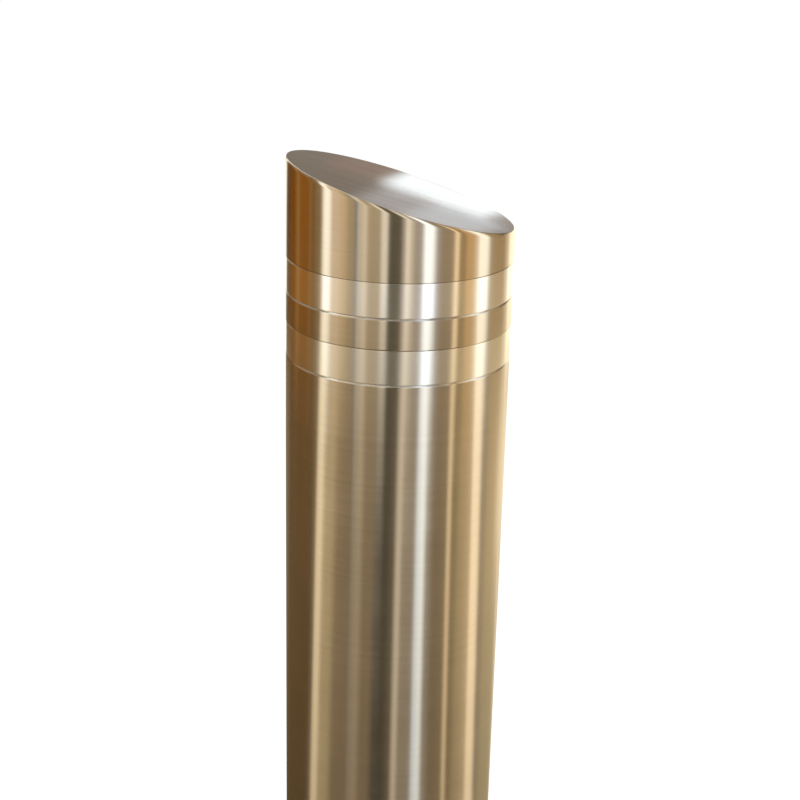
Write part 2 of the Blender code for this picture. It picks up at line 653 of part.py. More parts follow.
def build_ram_rod(chrome, black, rubber, screw_steel, slide):
    """The rod, its nut on the crosshead, and its piston, seals and nut below, which rise with the post."""
    spigot = ROD_SPIGOT / 2
    shaft = ROD_DIAMETER / 2
    thread = ROD_THREAD / 2
    rod_bottom = piston_nut_bottom - THREAD_PROUD
    thread_top = crosshead_top + SEAT_GAP + NUT_HEIGHT * ROD_THREAD + THREAD_PROUD
    rod = [
        (0, rod_bottom),
        (spigot, rod_bottom),
        (spigot, piston_top + SEAT_GAP),
        (shaft, piston_top + SEAT_GAP),
        (shaft, crosshead_bottom - SEAT_GAP),
        (thread, crosshead_bottom - SEAT_GAP),
        (thread, thread_top),
        (0, thread_top),
    ]
    turned("piston_rod", rod, ROUND_FACETS, chrome, slide)
    hex_nut("rod_end_nut", ROD_THREAD, crosshead_top + SEAT_GAP, screw_steel, slide)
    hex_nut("piston_nut", ROD_SPIGOT, piston_nut_bottom, screw_steel, slide)

    skirt = ram_bore - SEAT_GAP
    land = (PISTON_HEIGHT - PISTON_SEALS * SEAL_WIDTH) / (PISTON_SEALS + 1)
    piston = [(spigot + SEAT_GAP, piston_bottom), (skirt, piston_bottom)]
    for number in range(1, PISTON_SEALS + 1):
        bottom = piston_bottom + number * land + (number - 1) * SEAL_WIDTH
        top = bottom + SEAL_WIDTH
        floor = skirt - SEAL_DEPTH
        piston += [(skirt, bottom), (floor, bottom), (floor, top), (skirt, top)]
        seal = section(floor + SEAT_GAP, skirt, bottom + SEAT_GAP, top - SEAT_GAP)
        turned(f"piston_seal_{number}", seal, ROUND_FACETS, rubber, slide)
    piston += [(skirt, piston_top), (spigot + SEAT_GAP, piston_top)]
    turned("piston", piston, ROUND_FACETS, black, slide)


def cap_rim():
    """How far in, and how far below the cap's plane, each ring of the rim lies, from the side to the plate."""
    step = CAP_LEAN_LENGTH / LEAN_FACETS
    leans = [CAP_LEAN * ((i + 0.5) / LEAN_FACETS) ** CAP_LEAN_GROWTH for i in range(LEAN_FACETS)]
    turn = (math.pi / 2 - CAP_LEAN) / RIM_FACETS
    moves = [(step, lean) for lean in leans]
    moves += [(CAP_EDGE * turn, CAP_LEAN + turn * (i + 0.5)) for i in range(RIM_FACETS)]
    inset, drop = 0.0, sum(length * math.cos(lean) for length, lean in moves)
    rings = [(inset, drop)]
    for length, lean in moves:
        inset += length * math.sin(lean)
        drop -= length * math.cos(lean)
        rings.append((inset, drop))
    return rings


def grow_ring(bm, ring, radius, centre_height):
    """Extrudes a ring of edges to one of this radius on the cap's slope, which rises towards -X."""
    grown = bmesh.ops.extrude_edge_only(bm, edges=ring)["geom"]
    for vert in grown:
        if isinstance(vert, bmesh.types.BMVert):
            vert.co.xy = vert.co.xy.normalized() * radius
            vert.co.z = centre_height - vert.co.x * math.tan(CAP_SLOPE)
    return [item for item in grown if isinstance(item, bmesh.types.BMEdge)]


def build_slanted_cap(stainless, slide):
    """A cup turned over: skirt, leaning rim and plate, and the hollow under them."""
    bm = bmesh.new()
    base = Matrix.Translation((0, 0, seam + SEAT_GAP))
    bmesh.ops.create_circle(bm, cap_ends=False, radius=post_radius, segments=BODY_FACETS, matrix=base)
    skirt = list(bm.edges)
    ring = skirt
    for inset, drop in cap_rim():
        ring = grow_ring(bm, ring, post_radius - inset, cap_centre - drop)
    bmesh.ops.contextual_create(bm, geom=ring)
    lip = bmesh.ops.extrude_edge_only(bm, edges=skirt)["geom"]
    for vert in lip:
        if isinstance(vert, bmesh.types.BMVert):
            vert.co.xy = vert.co.xy.normalized() * post_inner
    lip = [item for item in lip if isinstance(item, bmesh.types.BMEdge)]
    ceiling = grow_ring(bm, lip, post_inner, cap_centre - CAP_PLATE / math.cos(CAP_SLOPE))
    bmesh.ops.contextual_create(bm, geom=ceiling)
    make_object("slanted_cap", to_mesh(bm, "slanted_cap"), stainless, slide)


def build_post(stainless, film, steel, screw_steel, slide):
    lip = GROOVE_CHAMFER
    tube = [
        (post_inner, foot_top + SEAT_GAP),
        (post_radius, foot_top + SEAT_GAP),
        (post_radius, lower_band_bottom - lip),
        (groove_radius, lower_band_bottom),
        (groove_radius, lower_band_top),
        (post_radius, lower_band_top),
        (post_radius, upper_band_bottom - lip),
        (groove_radius, upper_band_bottom),
        (groove_radius, seam),
        (post_inner, seam),
    ]
    turned("post_tube", tube, BODY_FACETS, stainless, slide)
    film_inner = groove_radius + SEAT_GAP
    film_outer = film_inner + FILM_THICKNESS
    for name, top in (("upper_reflective_band", seam), ("lower_reflective_band", lower_band_top)):
        band = section(film_inner, film_outer, top - BAND_GROOVE, top - SEAT_GAP)
        turned(name, band, BODY_FACETS, film, slide)

    ring_inner = insert_radius - SPIGOT_WALL
    screw_ring = (ring_inner + insert_radius) / 2
    spots = [polar(screw_ring, 360 / CROSSHEAD_SCREWS * i) for i in range(CROSSHEAD_SCREWS)]
    shank = CROSSHEAD_SCREW / 2
    bite = crosshead_top + CROSSHEAD_SCREW_BITE
    ring_section = section(ring_inner, insert_radius, seam - SPIGOT_DEPTH, seam + SPIGOT_RISE)
    ring = turned("cap_spigot_ring", ring_section, BODY_FACETS, steel, slide)
    drill(ring, shank + SEAT_GAP, crosshead_bottom, bite + SEAT_GAP, spots)

    plate_section = section(0, insert_radius, crosshead_bottom, crosshead_top)
    plate = turned("crosshead_plate", plate_section, BODY_FACETS, steel, slide)
    low, high = crosshead_bottom - CROSSHEAD_THICKNESS, crosshead_top + CROSSHEAD_THICKNESS
    drill(plate, shank + SEAT_GAP, low, high, spots)
    drill(plate, ROD_THREAD / 2 + SEAT_GAP, low, high, [Vector((0, 0, 0))], ROUND_FACETS)
    hole_circle = (ROD_DIAMETER / 2 + ring_inner) / 2
    between = 180 / CROSSHEAD_SCREWS
    holes = [polar(hole_circle, between + 360 / CROSSHEAD_SCREWS * i) for i in range(CROSSHEAD_SCREWS)]
    drill(plate, LIGHTENING_HOLE / 2, low, high, holes, ROUND_FACETS)

    head = CROSSHEAD_SCREW_HEAD / 2
    head_top = crosshead_bottom - SEAT_GAP
    profile = [
        (0, head_top - CROSSHEAD_SCREW),
        (head, head_top - CROSSHEAD_SCREW),
        (head, head_top),
        (shank, head_top),
        (shank, bite),
        (0, bite),
    ]
    screw = turned("crosshead_screw", profile, SCREW_FACETS, screw_steel, slide)
    repeated(screw, "crosshead_screw", [Matrix.Translation(spot) for spot in spots])


def foot_outline():
    """A round ring with an ear around each guide rod."""
    # half the angle of the ring that an ear takes, and half the turn of the ear's own arc
    cosine = (foot_outer**2 + guide_circle**2 - ear_radius**2) / (2 * foot_outer * guide_circle)
    taken = math.degrees(math.acos(cosine))
    half_ear = math.degrees((polar(foot_outer, taken) - polar(guide_circle, 0)).angle(polar(1, 0)))
    free = 360 / GUIDE_RODS - 2 * taken
    ring_facets = BODY_FACETS // GUIDE_RODS
    points = []
    for angle in guide_angles:
        ear_arc = [angle + half_ear * (2 * i / EAR_FACETS - 1) for i in range(EAR_FACETS + 1)]
        points += [(polar(guide_circle, angle) + polar(ear_radius, turn)).xy for turn in ear_arc]
        ring_arc = [angle + taken + free * i / ring_facets for i in range(1, ring_facets)]
        points += [polar(foot_outer, turn).xy for turn in ring_arc]
    return points


def build_foot(steel, bronze, slide):
    foot = extruded("foot_flange", foot_outline(), foot_bottom, foot_top, steel, slide)
    low, high = foot_bottom - FOOT_THICKNESS, foot_top + FOOT_THICKNESS
    spigot = section(0, insert_radius, foot_bottom + FOOT_THICKNESS / 2, foot_top + FOOT_SPIGOT)
    cut(foot, revolved("spigot", spigot, BODY_FACETS), operation="UNION")
    drill(foot, foot_inner, low, high + FOOT_SPIGOT, [Vector((0, 0, 0))], BODY_FACETS)
    rods = [polar(guide_circle, angle) for angle in guide_angles]
    drill(foot, foot_bush_outer + SEAT_GAP, low, high, rods, ROUND_FACETS)
    flange = foot_bush_outer + BUSH_LIP
    seat = foot_top + SEAT_GAP
    profile = [
        (foot_bush_inner, foot_bottom - BUSH_LIP),
        (foot_bush_outer, foot_bottom - BUSH_LIP),
        (foot_bush_outer, seat),
        (flange, seat),
        (flange, foot_bush_top),
        (foot_bush_inner, foot_bush_top),
    ]
    bush = turned("foot_bush", profile, ROUND_FACETS, bronze, slide)
    repeated(bush, "foot_bush", [Matrix.Translation(polar(guide_circle, angle)) for angle in guide_angles])


def main():
    clear_scene()
    stainless = make_material("brushed_stainless", (0.62, 0.58, 0.52), 0.28, 1.0)
    film = make_material("reflective_film", (0.72, 0.69, 0.63), 0.38, 0.8)
    galvanised = make_material("galvanised_steel", (0.52, 0.54, 0.55), 0.5, 1.0)
    zinc = make_material("zinc_plated_steel", (0.66, 0.67, 0.66), 0.35, 1.0)
    black = make_material("black_enamel", (0.03, 0.03, 0.035), 0.35, 0.0)
    chrome = make_material("hard_chrome", (0.8, 0.8, 0.8), 0.08, 1.0)
    bronze = make_material("bronze", (0.62, 0.42, 0.2), 0.4, 1.0)
    rubber = make_material("rubber", (0.025, 0.025, 0.025), 0.7, 0.0)
    nylon = make_material("nylon", (0.82, 0.81, 0.76), 0.45, 0.0)
    plastic = make_material("sensor_plastic", (0.05, 0.16, 0.32), 0.4, 0.0)
    slide = bpy.data.objects.new("post_slide", None)
    bpy.context.scene.collection.objects.link(slide)

    build_casing(galvanised)
    build_cover(stainless, zinc, rubber)
    build_post_bush(galvanised, nylon)
    build_guides(chrome, zinc)
    build_core_plate(galvanised, rubber)
    build_sensors(galvanised, plastic)
    build_ram(black, zinc)
    build_ram_rod(chrome, black, rubber, zinc, slide)
    build_slanted_cap(stainless, slide)
    build_post(stainless, film, galvanised, zinc, slide)
    build_foot(galvanised, bronze, slide)


main()
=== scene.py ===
"""Retractable bollard, raised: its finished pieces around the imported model, their materials, and a small studio.

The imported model's frame, +Z up. The stage and the materials are in metres, and the pieces are made in
millimetres and placed in metres. The slanted cap's high side faces -X.
"""

import json
import math

import bmesh
import bpy
from bmesh.types import BMEdge, BMVert
from mathutils import Matrix, Vector


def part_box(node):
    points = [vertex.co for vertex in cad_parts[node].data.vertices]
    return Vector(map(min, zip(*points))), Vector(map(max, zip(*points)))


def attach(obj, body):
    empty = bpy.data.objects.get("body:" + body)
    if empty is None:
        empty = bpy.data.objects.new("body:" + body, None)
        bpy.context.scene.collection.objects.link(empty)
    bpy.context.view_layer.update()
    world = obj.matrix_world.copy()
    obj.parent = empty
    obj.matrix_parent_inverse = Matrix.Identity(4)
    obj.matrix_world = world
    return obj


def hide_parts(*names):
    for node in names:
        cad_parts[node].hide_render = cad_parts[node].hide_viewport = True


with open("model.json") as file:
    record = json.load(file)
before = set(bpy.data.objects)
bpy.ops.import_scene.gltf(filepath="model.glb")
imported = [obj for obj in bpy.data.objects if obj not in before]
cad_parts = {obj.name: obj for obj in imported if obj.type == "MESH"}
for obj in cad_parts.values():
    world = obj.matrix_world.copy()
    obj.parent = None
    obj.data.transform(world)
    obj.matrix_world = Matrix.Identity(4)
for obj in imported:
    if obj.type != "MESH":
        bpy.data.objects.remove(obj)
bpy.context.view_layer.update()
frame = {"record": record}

MM = 0.001
scene = bpy.context.scene
scene.view_settings.view_transform = "Standard"

# ---------------------------------------- camera and stage

CAMERA_PLACE = (-0.084, -1.112, 1.8062)
CAMERA_LENS, CAMERA_REACH = 69.9, 200
CAMERA_AZIMUTH, CAMERA_PITCH, CAMERA_ROLL = -4.46, 19.28, 1.35
LAMPS = {"key": ((-2.2, -2.6, 3.6), 60), "fill": ((2.8, -1.6, 2.8), 30)}  # place, and power in watts
LAMP_SIZE, LAMP_AIM = 1.8, Vector((0, 0, 0.8))
FLOOR_RADIUS, FLOOR_COLOUR, FLOOR_GLOW = 80, (0.9, 0.9, 0.9, 1), 0.36
AIR_COLOUR, AIR_LIGHT = (1, 1, 1, 1), 0.72

TENT_RADIUS, TENT_HEIGHT = 1.25, 3.2
TENT_COLUMNS, TENT_ROWS = 720, 40
CEILING_CELLS = 80
GROUND_CLOTH_HEIGHT = 5 * MM
WALL_TOP = 2.8  # above this hangs the upper row of cloths
WALL_MIDDLE = 1.26  # height at which the wall's cloths hang at their own azimuth
FAN = 0.16  # how far the cloths fan out below that, per metre
WALL_CHANGES = (1.18, 1.0)  # heights between which the wall's row gives way to the lower row
WALL_SHADES = ((0.06, 0.12, 0.36), (0.28, 0.5, 1.1))  # how much darker, from and to how far below the middle
SEAM = 0.1  # half of the height over which a cloth fades into the one above it

CLOTHS = {  # red, green and blue, 1 being white
    "umber": (0.17, 0.14, 0.10), "walnut": (0.12, 0.085, 0.055), "mahogany": (0.12, 0.055, 0.022),
    "russet": (0.20, 0.075, 0.010), "amber": (0.295, 0.116, 0.014), "tan": (0.40, 0.205, 0.065),
    "nutmeg": (0.25, 0.14, 0.05), "fawn": (0.30, 0.20, 0.10), "dusk": (0.24, 0.19, 0.13), "ivory": (1.5, 1.52, 1.45),
    "cream": (1.5, 1.38, 1.04), "sand": (0.84, 0.69, 0.54), "flax": (0.78, 0.62, 0.40), "rush": (0.49, 0.40, 0.27),
    "slate": (0.27, 0.28, 0.29), "fog": (0.72, 0.72, 0.70), "linen": (0.80, 0.72, 0.60), "chalk": (0.98, 0.89, 0.75),
    "clay": (0.545, 0.46, 0.335), "pearl": (1.20, 1.15, 1.05), "iron": (0.13, 0.117, 0.088),
    "soot": (0.09, 0.08, 0.06), "oat": (0.48, 0.44, 0.41), "sky": (1.7, 1.9, 2.15), "lichen": (0.40, 0.325, 0.23),
    "moss": (0.30, 0.24, 0.15), "gold": (1.35, 1.1, 0.76), "cork": (0.41, 0.29, 0.15), "rust": (0.73, 0.48, 0.23),
    "biscuit": (0.93, 0.82, 0.68), "hazel": (0.44, 0.32, 0.18), "butter": (1.08, 0.93, 0.66),
    "honey": (0.98, 0.80, 0.54), "vanilla": (1.42, 1.21, 0.89), "hay": (0.58, 0.49, 0.31),
    "wheat": (0.52, 0.43, 0.26), "straw": (0.68, 0.53, 0.34), "bark": (0.36, 0.29, 0.20), "putty": (0.44, 0.36, 0.26),
    "drab": (0.37, 0.32, 0.25), "bracken": (0.27, 0.21, 0.14), "loam": (0.16, 0.105, 0.052),
    "haze": (1.02, 1.14, 1.34), "dove": (0.26, 0.228, 0.20), "ash": (0.35, 0.32, 0.31), "blush": (0.32, 0.25, 0.215),
    "smoke": (0.48, 0.475, 0.50), "mist": (0.66, 0.70, 0.78), "cloud": (1.25, 1.38, 1.5),
}
CLOTHS = {name: Vector(tone) for name, tone in CLOTHS.items()}
# Rows of cloths round the tent: the azimuth at which each shows its own colour.
WALL_CLOTHS = (
    (-180, "walnut"), (-160, "walnut"), (-152, "loam"), (-146, "mahogany"), (-141, "russet"), (-131, "russet"),
    (-127, "amber"), (-122, "tan"), (-117, "amber"), (-103, "amber"), (-101, "tan"), (-98.5, "nutmeg"),
    (-94.5, "nutmeg"), (-92, "fawn"), (-86.5, "fawn"), (-80.5, "ivory"), (-76, "ivory"), (-71.5, "sand"),
    (-66, "sand"), (-60, "flax"), (-51, "rush"), (-48.5, "rush"), (-47, "slate"), (-46, "slate"), (-44, "fog"),
    (-41, "linen"), (-37.5, "chalk"), (-33, "clay"), (-23.4, "clay"), (-19.9, "pearl"), (-17, "pearl"),
    (-13.6, "iron"), (-3.8, "iron"), (0.1, "oat"), (2.4, "pearl"), (4, "pearl"), (7.5, "linen"), (11, "oat"),
    (15.8, "oat"), (21, "sky"), (26, "sky"), (32.6, "oat"), (38, "lichen"), (48, "lichen"), (51, "gold"),
    (53, "gold"), (55.5, "cork"), (60, "cork"), (64.5, "rust"), (70, "rust"), (76, "biscuit"), (79, "ivory"),
    (88.5, "ivory"), (95.5, "rush"), (104, "hazel"), (118, "hazel"), (129, "sand"), (136, "cream"), (164, "cream"),
    (172, "tan"), (180, "walnut"),
)
LOWER_CLOTHS = (
    (-180, "umber"), (-152, "bracken"), (-132, "loam"), (-93, "loam"), (-87, "dusk"), (-83.3, "butter"),
    (-79.5, "butter"), (-74, "wheat"), (-67, "wheat"), (-58, "bracken"), (-46, "bracken"), (-42, "drab"),
    (-37, "putty"), (-30, "bracken"), (-25, "bracken"), (-18, "soot"), (-12, "soot"), (-4.2, "umber"), (0.3, "linen"),
    (1.5, "linen"), (5, "drab"), (14.5, "drab"), (19, "haze"), (23.3, "cloud"), (28, "drab"), (36, "bracken"),
    (46.5, "moss"), (48.8, "honey"), (50.8, "honey"), (53.4, "moss"), (64, "wheat"), (74, "straw"), (79, "vanilla"),
    (85, "vanilla"), (91.5, "putty"), (103, "hay"), (128, "hay"), (136, "butter"), (143, "straw"), (150, "tan"),
    (180, "umber"),
)
UPPER_CLOTHS = (
    (-180, "pearl"), (-60, "pearl"), (-30, "umber"), (30, "umber"), (60, "oat"), (105, "oat"), (115, "walnut"),
    (150, "walnut"), (180, "pearl"),
)
CEILING_CLOTHS = (
    (-180, "pearl"), (-100, "pearl"), (-75, "tan"), (-50, "umber"), (0, "umber"), (60, "walnut"), (180, "walnut"),
)
# Screens beside the post, in front of the wall: cloth, azimuth where it begins and where it is full, the height
# of its foot at that azimuth and what each degree adds, and the height of its top.
SCREENS = (
    ("bark", -92, -104, 1.75, 0, 9), ("pearl", -90, -105, 2.9, 0.03, 9), ("straw", 104, 114, 0.74, 0, 1.03),
    ("butter", 116, 138, 0.74, 0, 1.03), ("walnut", 110, 122, 1.62, 0, 9), ("walnut", 30, 45, 2.5, 0, 9),
)
# The ceiling: the middle's radii, and the front edge's distance from the axis, bend and softness.
CEILING_MIDDLE, CEILING_FRONT, CEILING_BEND = (1.2, 1.0), (-0.42, -0.58), 0.36

# A finer cloth behind the post, which its slanted plate shows: a low row and a row above it.
BACK_RADIUS, BACK_WIDTH, BACK_ROWS = 1.2, 50, 60  # metres, degrees, rows
BACK_BOTTOM, BACK_TOP = 1.58, 1.95
BACK_HORIZON, BACK_RISE = 0.709, 0.006  # height of the upper row's foot: at azimuth 0, and what each degree adds
BACK_SEAM = 0.012
BACK_LOW = (
    (150, "ash"), (162.8, "ash"), (164.2, "cloud"), (171.3, "cloud"), (172.5, "blush"), (175, "blush"),
    (177.5, "dove"), (200, "dove"),
)
BACK_HIGH = (
    (150, "ash"), (160.5, "ash"), (162.5, "mist"), (166, "mist"), (168, "smoke"), (170, "smoke"), (172.3, "dove"),
    (200, "dove"),
)


def blended(low, high, value):
    """0 up to low, 1 from high, and smooth in between."""
    share = min(1.0, max(0.0, (value - low) / (high - low)))
    return share * share * (3 - 2 * share)


def above(edge, height, seam=SEAM):
    return blended(edge - seam, edge + seam, height)


def cloth_at(row, azimuth):
    """The colour of a row of cloths at this azimuth, where each cloth fades into the next."""
    for (start, first), (end, second) in zip(row, row[1:]):
        if azimuth <= end:
            return CLOTHS[first].lerp(CLOTHS[second], blended(start, end, azimuth))
    return CLOTHS[row[-1][1]]


def tent_colour(azimuth, height):
    """The wall: two rows of cloths that fan out downwards, the screens before them, and the upper row."""
    lowered = max(0.0, WALL_MIDDLE - height)
    drawn_in = azimuth / (1 + FAN * lowered)
    wall = cloth_at(WALL_CLOTHS, drawn_in).lerp(cloth_at(LOWER_CLOTHS, drawn_in), blended(*WALL_CHANGES, height))
    wall *= 1 - sum(loss * blended(start, end, lowered) for loss, start, end in WALL_SHADES)
    for cloth, begins, full, foot, rise, top in SCREENS:
        edge = foot + rise * (azimuth - full)
        share = blended(begins, full, azimuth) * above(edge, height) * (1 - above(top, height))
        wall = wall.lerp(CLOTHS[cloth], share)
    return wall.lerp(cloth_at(UPPER_CLOTHS, azimuth), above(WALL_TOP, height))


def back_colour(azimuth, height):
    horizon = BACK_HORIZON + BACK_RISE * azimuth
    return cloth_at(BACK_LOW, azimuth).lerp(cloth_at(BACK_HIGH, azimuth), above(horizon, height, BACK_SEAM))


def ceiling_colour(point):
    """Pale towards the camera, which the grooves' lips show, and darker over the rest, which the rim shows."""
    front = blended(*CEILING_FRONT, point.y - CEILING_BEND * point.x**2)
    middle = blended(*CEILING_MIDDLE, point.xy.length)
    return cloth_at(CEILING_CLOTHS, azimuth_of(point)).lerp(CLOTHS["smoke"], middle).lerp(CLOTHS["linen"], front)


def ground_colour(point):
    return CLOTHS["bark"] if point.xy.length < TENT_RADIUS / 2 else tent_colour(azimuth_of(point), point.z)


def azimuth_of(point):
    """Degrees from -Y towards +X."""
    return math.degrees(math.atan2(point.x, -point.y))


def link(name, data):
    obj = bpy.data.objects.new(name, data)
    scene.collection.objects.link(obj)
    return obj


def mesh_from(bm, name="shape"):
    mesh = bpy.data.meshes.new(name)
    bm.to_mesh(mesh)
    bm.free()
    return mesh


class Wiring:
    """Adds nodes to a tree: a number given for a socket is its value, and a socket given is linked to it."""

    def __init__(self, tree):
        self.tree = tree

    def node(self, kind, inputs=(), **settings):
        node = self.tree.nodes.new(kind if kind.startswith("Node") else "ShaderNode" + kind)
        for setting, value in settings.items():
            setattr(node, setting, value)
        for label, value in dict(inputs).items():
            self.feed(node.inputs[label], value)
        return node

    def out(self, kind, inputs=(), **settings):
        """A new node's first output."""
        return self.node(kind, inputs, **settings).outputs[0]

    def feed(self, socket, value):
        if isinstance(value, bpy.types.NodeSocket):
            self.tree.links.new(value, socket)
        else:
            socket.default_value = value

    def math(self, operation, *values):
        return self.out("Math", enumerate(values), operation=operation)

    def total(self, base, *terms):
        """The base, and each value times its share."""
        for value, share in terms:
            base = self.math("MULTIPLY_ADD", value, share, base)
        return base

    def vector(self, operation, inputs):
        return self.node("VectorMath", inputs, operation=operation).outputs

    def noise(self, vector, scale, detail=2.0, roughness=0.5):
        return self.out("TexNoise", {"Vector": vector, "Scale": scale, "Detail": detail, "Roughness": roughness})

    def mix(self, share, first, second):
        """A colour between first and second."""
        node = self.node("Mix", {"Factor": share}, data_type="RGBA")
        colours = [socket for socket in node.inputs if socket.type == "RGBA"]
        for socket, colour in zip(colours, (first, second)):
            self.feed(socket, colour if isinstance(colour, bpy.types.NodeSocket) else (*colour, 1))
        return next(socket for socket in node.outputs if socket.type == "RGBA")

    def spread(self, value, low, high, to_low=0.0, to_high=1.0):
        """The value's range low to high made to_low to to_high, clamped."""
        inputs = {"Value": value, "From Min": low, "From Max": high, "To Min": to_low, "To Max": to_high}
        return self.out("MapRange", inputs)


def emptied(block):
    """The wiring of a material or a world, without the nodes that it starts with."""
    block.use_nodes = True
    block.node_tree.nodes.clear()
    return Wiring(block.node_tree)


def hang(name, bm, colour_at):
    """Hangs cloth that glows in these colours. It shows only as a reflection, and isn't sampled as a lamp."""
    mesh = mesh_from(bm, name)
    tones = mesh.color_attributes.new("tone", "FLOAT_COLOR", "POINT")
    for vert, tone in zip(mesh.vertices, tones.data):
        tone.color = (*colour_at(vert.co), 1)
    mesh.materials.append(bpy.data.materials.new(name + "_cloth"))
    mesh.materials[0].cycles.emission_sampling = "NONE"
    w = emptied(mesh.materials[0])
    glow = w.out("Emission", {"Color": w.out("Attribute", attribute_name="tone")})
    w.node("OutputMaterial", {"Surface": glow})
    cloth = link(name, mesh)
    cloth.visible_camera = cloth.visible_diffuse = cloth.visible_shadow = False
    cloth.visible_transmission = cloth.visible_volume_scatter = False


def build_tent():
    """A round tent of cloths, with a ceiling, a ground cloth and a finer cloth at the back."""
    bm = bmesh.new()
    middle = Matrix.Translation((0, 0, TENT_HEIGHT / 2))
    size = {"radius1": TENT_RADIUS, "radius2": TENT_RADIUS, "depth": TENT_HEIGHT}
    bmesh.ops.create_cone(bm, cap_ends=False, segments=TENT_COLUMNS, matrix=middle, **size)
    upright = [edge for edge in bm.edges if abs(edge.verts[0].co.z - edge.verts[1].co.z) > TENT_HEIGHT / 2]
    bmesh.ops.subdivide_edges(bm, edges=upright, cuts=TENT_ROWS - 1)
    hang("light_tent", bm, lambda point: tent_colour(azimuth_of(point), point.z))

    bm = bmesh.new()
    bmesh.ops.create_circle(bm, cap_ends=True, cap_tris=True, radius=TENT_RADIUS, segments=TENT_COLUMNS // 10)
    bmesh.ops.translate(bm, verts=bm.verts, vec=(0, 0, GROUND_CLOTH_HEIGHT))
    hang("ground_cloth", bm, ground_colour)

    bm = bmesh.new()
    bmesh.ops.create_grid(bm, x_segments=CEILING_CELLS, y_segments=CEILING_CELLS, size=TENT_RADIUS)
    bmesh.ops.translate(bm, verts=bm.verts, vec=(0, 0, TENT_HEIGHT))
    hang("ceiling_cloth", bm, ceiling_colour)

    bm = bmesh.new()
    bmesh.ops.create_grid(bm, x_segments=BACK_WIDTH * 2, y_segments=BACK_ROWS, size=0.5)
    for vert in bm.verts:
        turn = math.radians(180 + BACK_WIDTH * vert.co.x)
        height = BACK_BOTTOM + (BACK_TOP - BACK_BOTTOM) * (vert.co.y + 0.5)
        vert.co = (BACK_RADIUS * math.sin(turn), -BACK_RADIUS * math.cos(turn), height)
    hang("back_cloth", bm, lambda point: back_colour(azimuth_of(point) % 360, point.z))


def seen_rays(w, seen, unseen):
    """A strength of seen for rays that look at the background, directly or in metal or glass."""
    path = w.node("LightPath").outputs
    looking = path["Is Camera Ray"]
    for ray in ("Is Glossy Ray", "Is Transmission Ray"):
        looking = w.math("MAXIMUM", looking, path[ray])
    return w.spread(looking, 0.0, 1.0, unseen, seen)


def build_floor():
    """A pale floor that keeps its shadows, and glows a little where it is looked at."""
    bm = bmesh.new()
    bmesh.ops.create_circle(bm, cap_ends=True, radius=FLOOR_RADIUS, segments=64)
    mesh = mesh_from(bm, "floor")
    mesh.materials.append(bpy.data.materials.new("pale_floor"))
    w = emptied(mesh.materials[0])
    matt = w.out("BsdfDiffuse", {"Color": FLOOR_COLOUR})
    glow = w.out("Emission", {"Strength": seen_rays(w, FLOOR_GLOW, 0.0)})
    w.node("OutputMaterial", {"Surface": w.out("AddShader", {0: matt, 1: glow})})
    link("floor", mesh)


def build_world():
    scene.world = bpy.data.worlds.new("studio")
    w = emptied(scene.world)
    air = w.out("Background", {"Color": AIR_COLOUR, "Strength": seen_rays(w, 1.0, AIR_LIGHT)})
    w.node("OutputWorld", {"Surface": air})


def build_lamp(name, place, power):
    lamp = bpy.data.lights.new(name, "AREA")
    lamp.shape = "DISK"
    lamp.size = LAMP_SIZE
    lamp.energy = power
    obj = link(name, lamp)
    obj.location = place
    obj.rotation_euler = (LAMP_AIM - Vector(place)).to_track_quat("-Z", "Y").to_euler()
    obj.visible_glossy = False


def turned(degrees, axis="Z"):
    return Matrix.Rotation(math.radians(degrees), 4, axis)


def build_camera():
    camera = link("camera", bpy.data.cameras.new("camera"))
    camera.data.lens = CAMERA_LENS
    camera.data.clip_end = CAMERA_REACH
    turn = turned(CAMERA_AZIMUTH) @ turned(90 - CAMERA_PITCH, "X") @ turned(CAMERA_ROLL)
    camera.matrix_world = Matrix.Translation(CAMERA_PLACE) @ turn
    scene.camera = camera


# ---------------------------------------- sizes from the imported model

body_of = {node: body for body, nodes in frame["record"]["behaviour"]["bodies"].items() for node in nodes}
slot_of = {part["node"]: part["material_slot"] for part in frame["record"]["subparts"]}


def box(node):
    """A node's box in millimetres, in which every piece below is made."""
    low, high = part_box(node)
    return low / MM, high / MM


def span(node):
    """Lowest and highest height of a node."""
    return tuple(corner.z for corner in box(node))


def middles(node):
    """The middles in plan of a node's numbered copies."""
    copies = sorted(name for name in body_of if name.rpartition("_")[0] == node)
    return [tuple((low.xy + high.xy) / 2) for low, high in map(box, copies)]


def half_width(node):
    """Half of a round node's width across."""
    low, high = box(node)
    return (high.x - low.x) / 2


# ---------------------------------------- effects that materials share


def effect(name, inputs, *outputs):
    """A new node group's wiring, and inside it what comes in, a vector and these numbers, and what goes out."""
    tree = bpy.data.node_groups.new(name, "ShaderNodeTree")
    tree.interface.new_socket("Vector", in_out="INPUT", socket_type="NodeSocketVector")
    for label, value in inputs.items():
        tree.interface.new_socket(label, in_out="INPUT", socket_type="NodeSocketFloat").default_value = value
    for label in outputs:
        tree.interface.new_socket(label, in_out="OUTPUT", socket_type="NodeSocketFloat")
    w = Wiring(tree)
    return w, w.node("NodeGroupInput").outputs, w.node("NodeGroupOutput").inputs


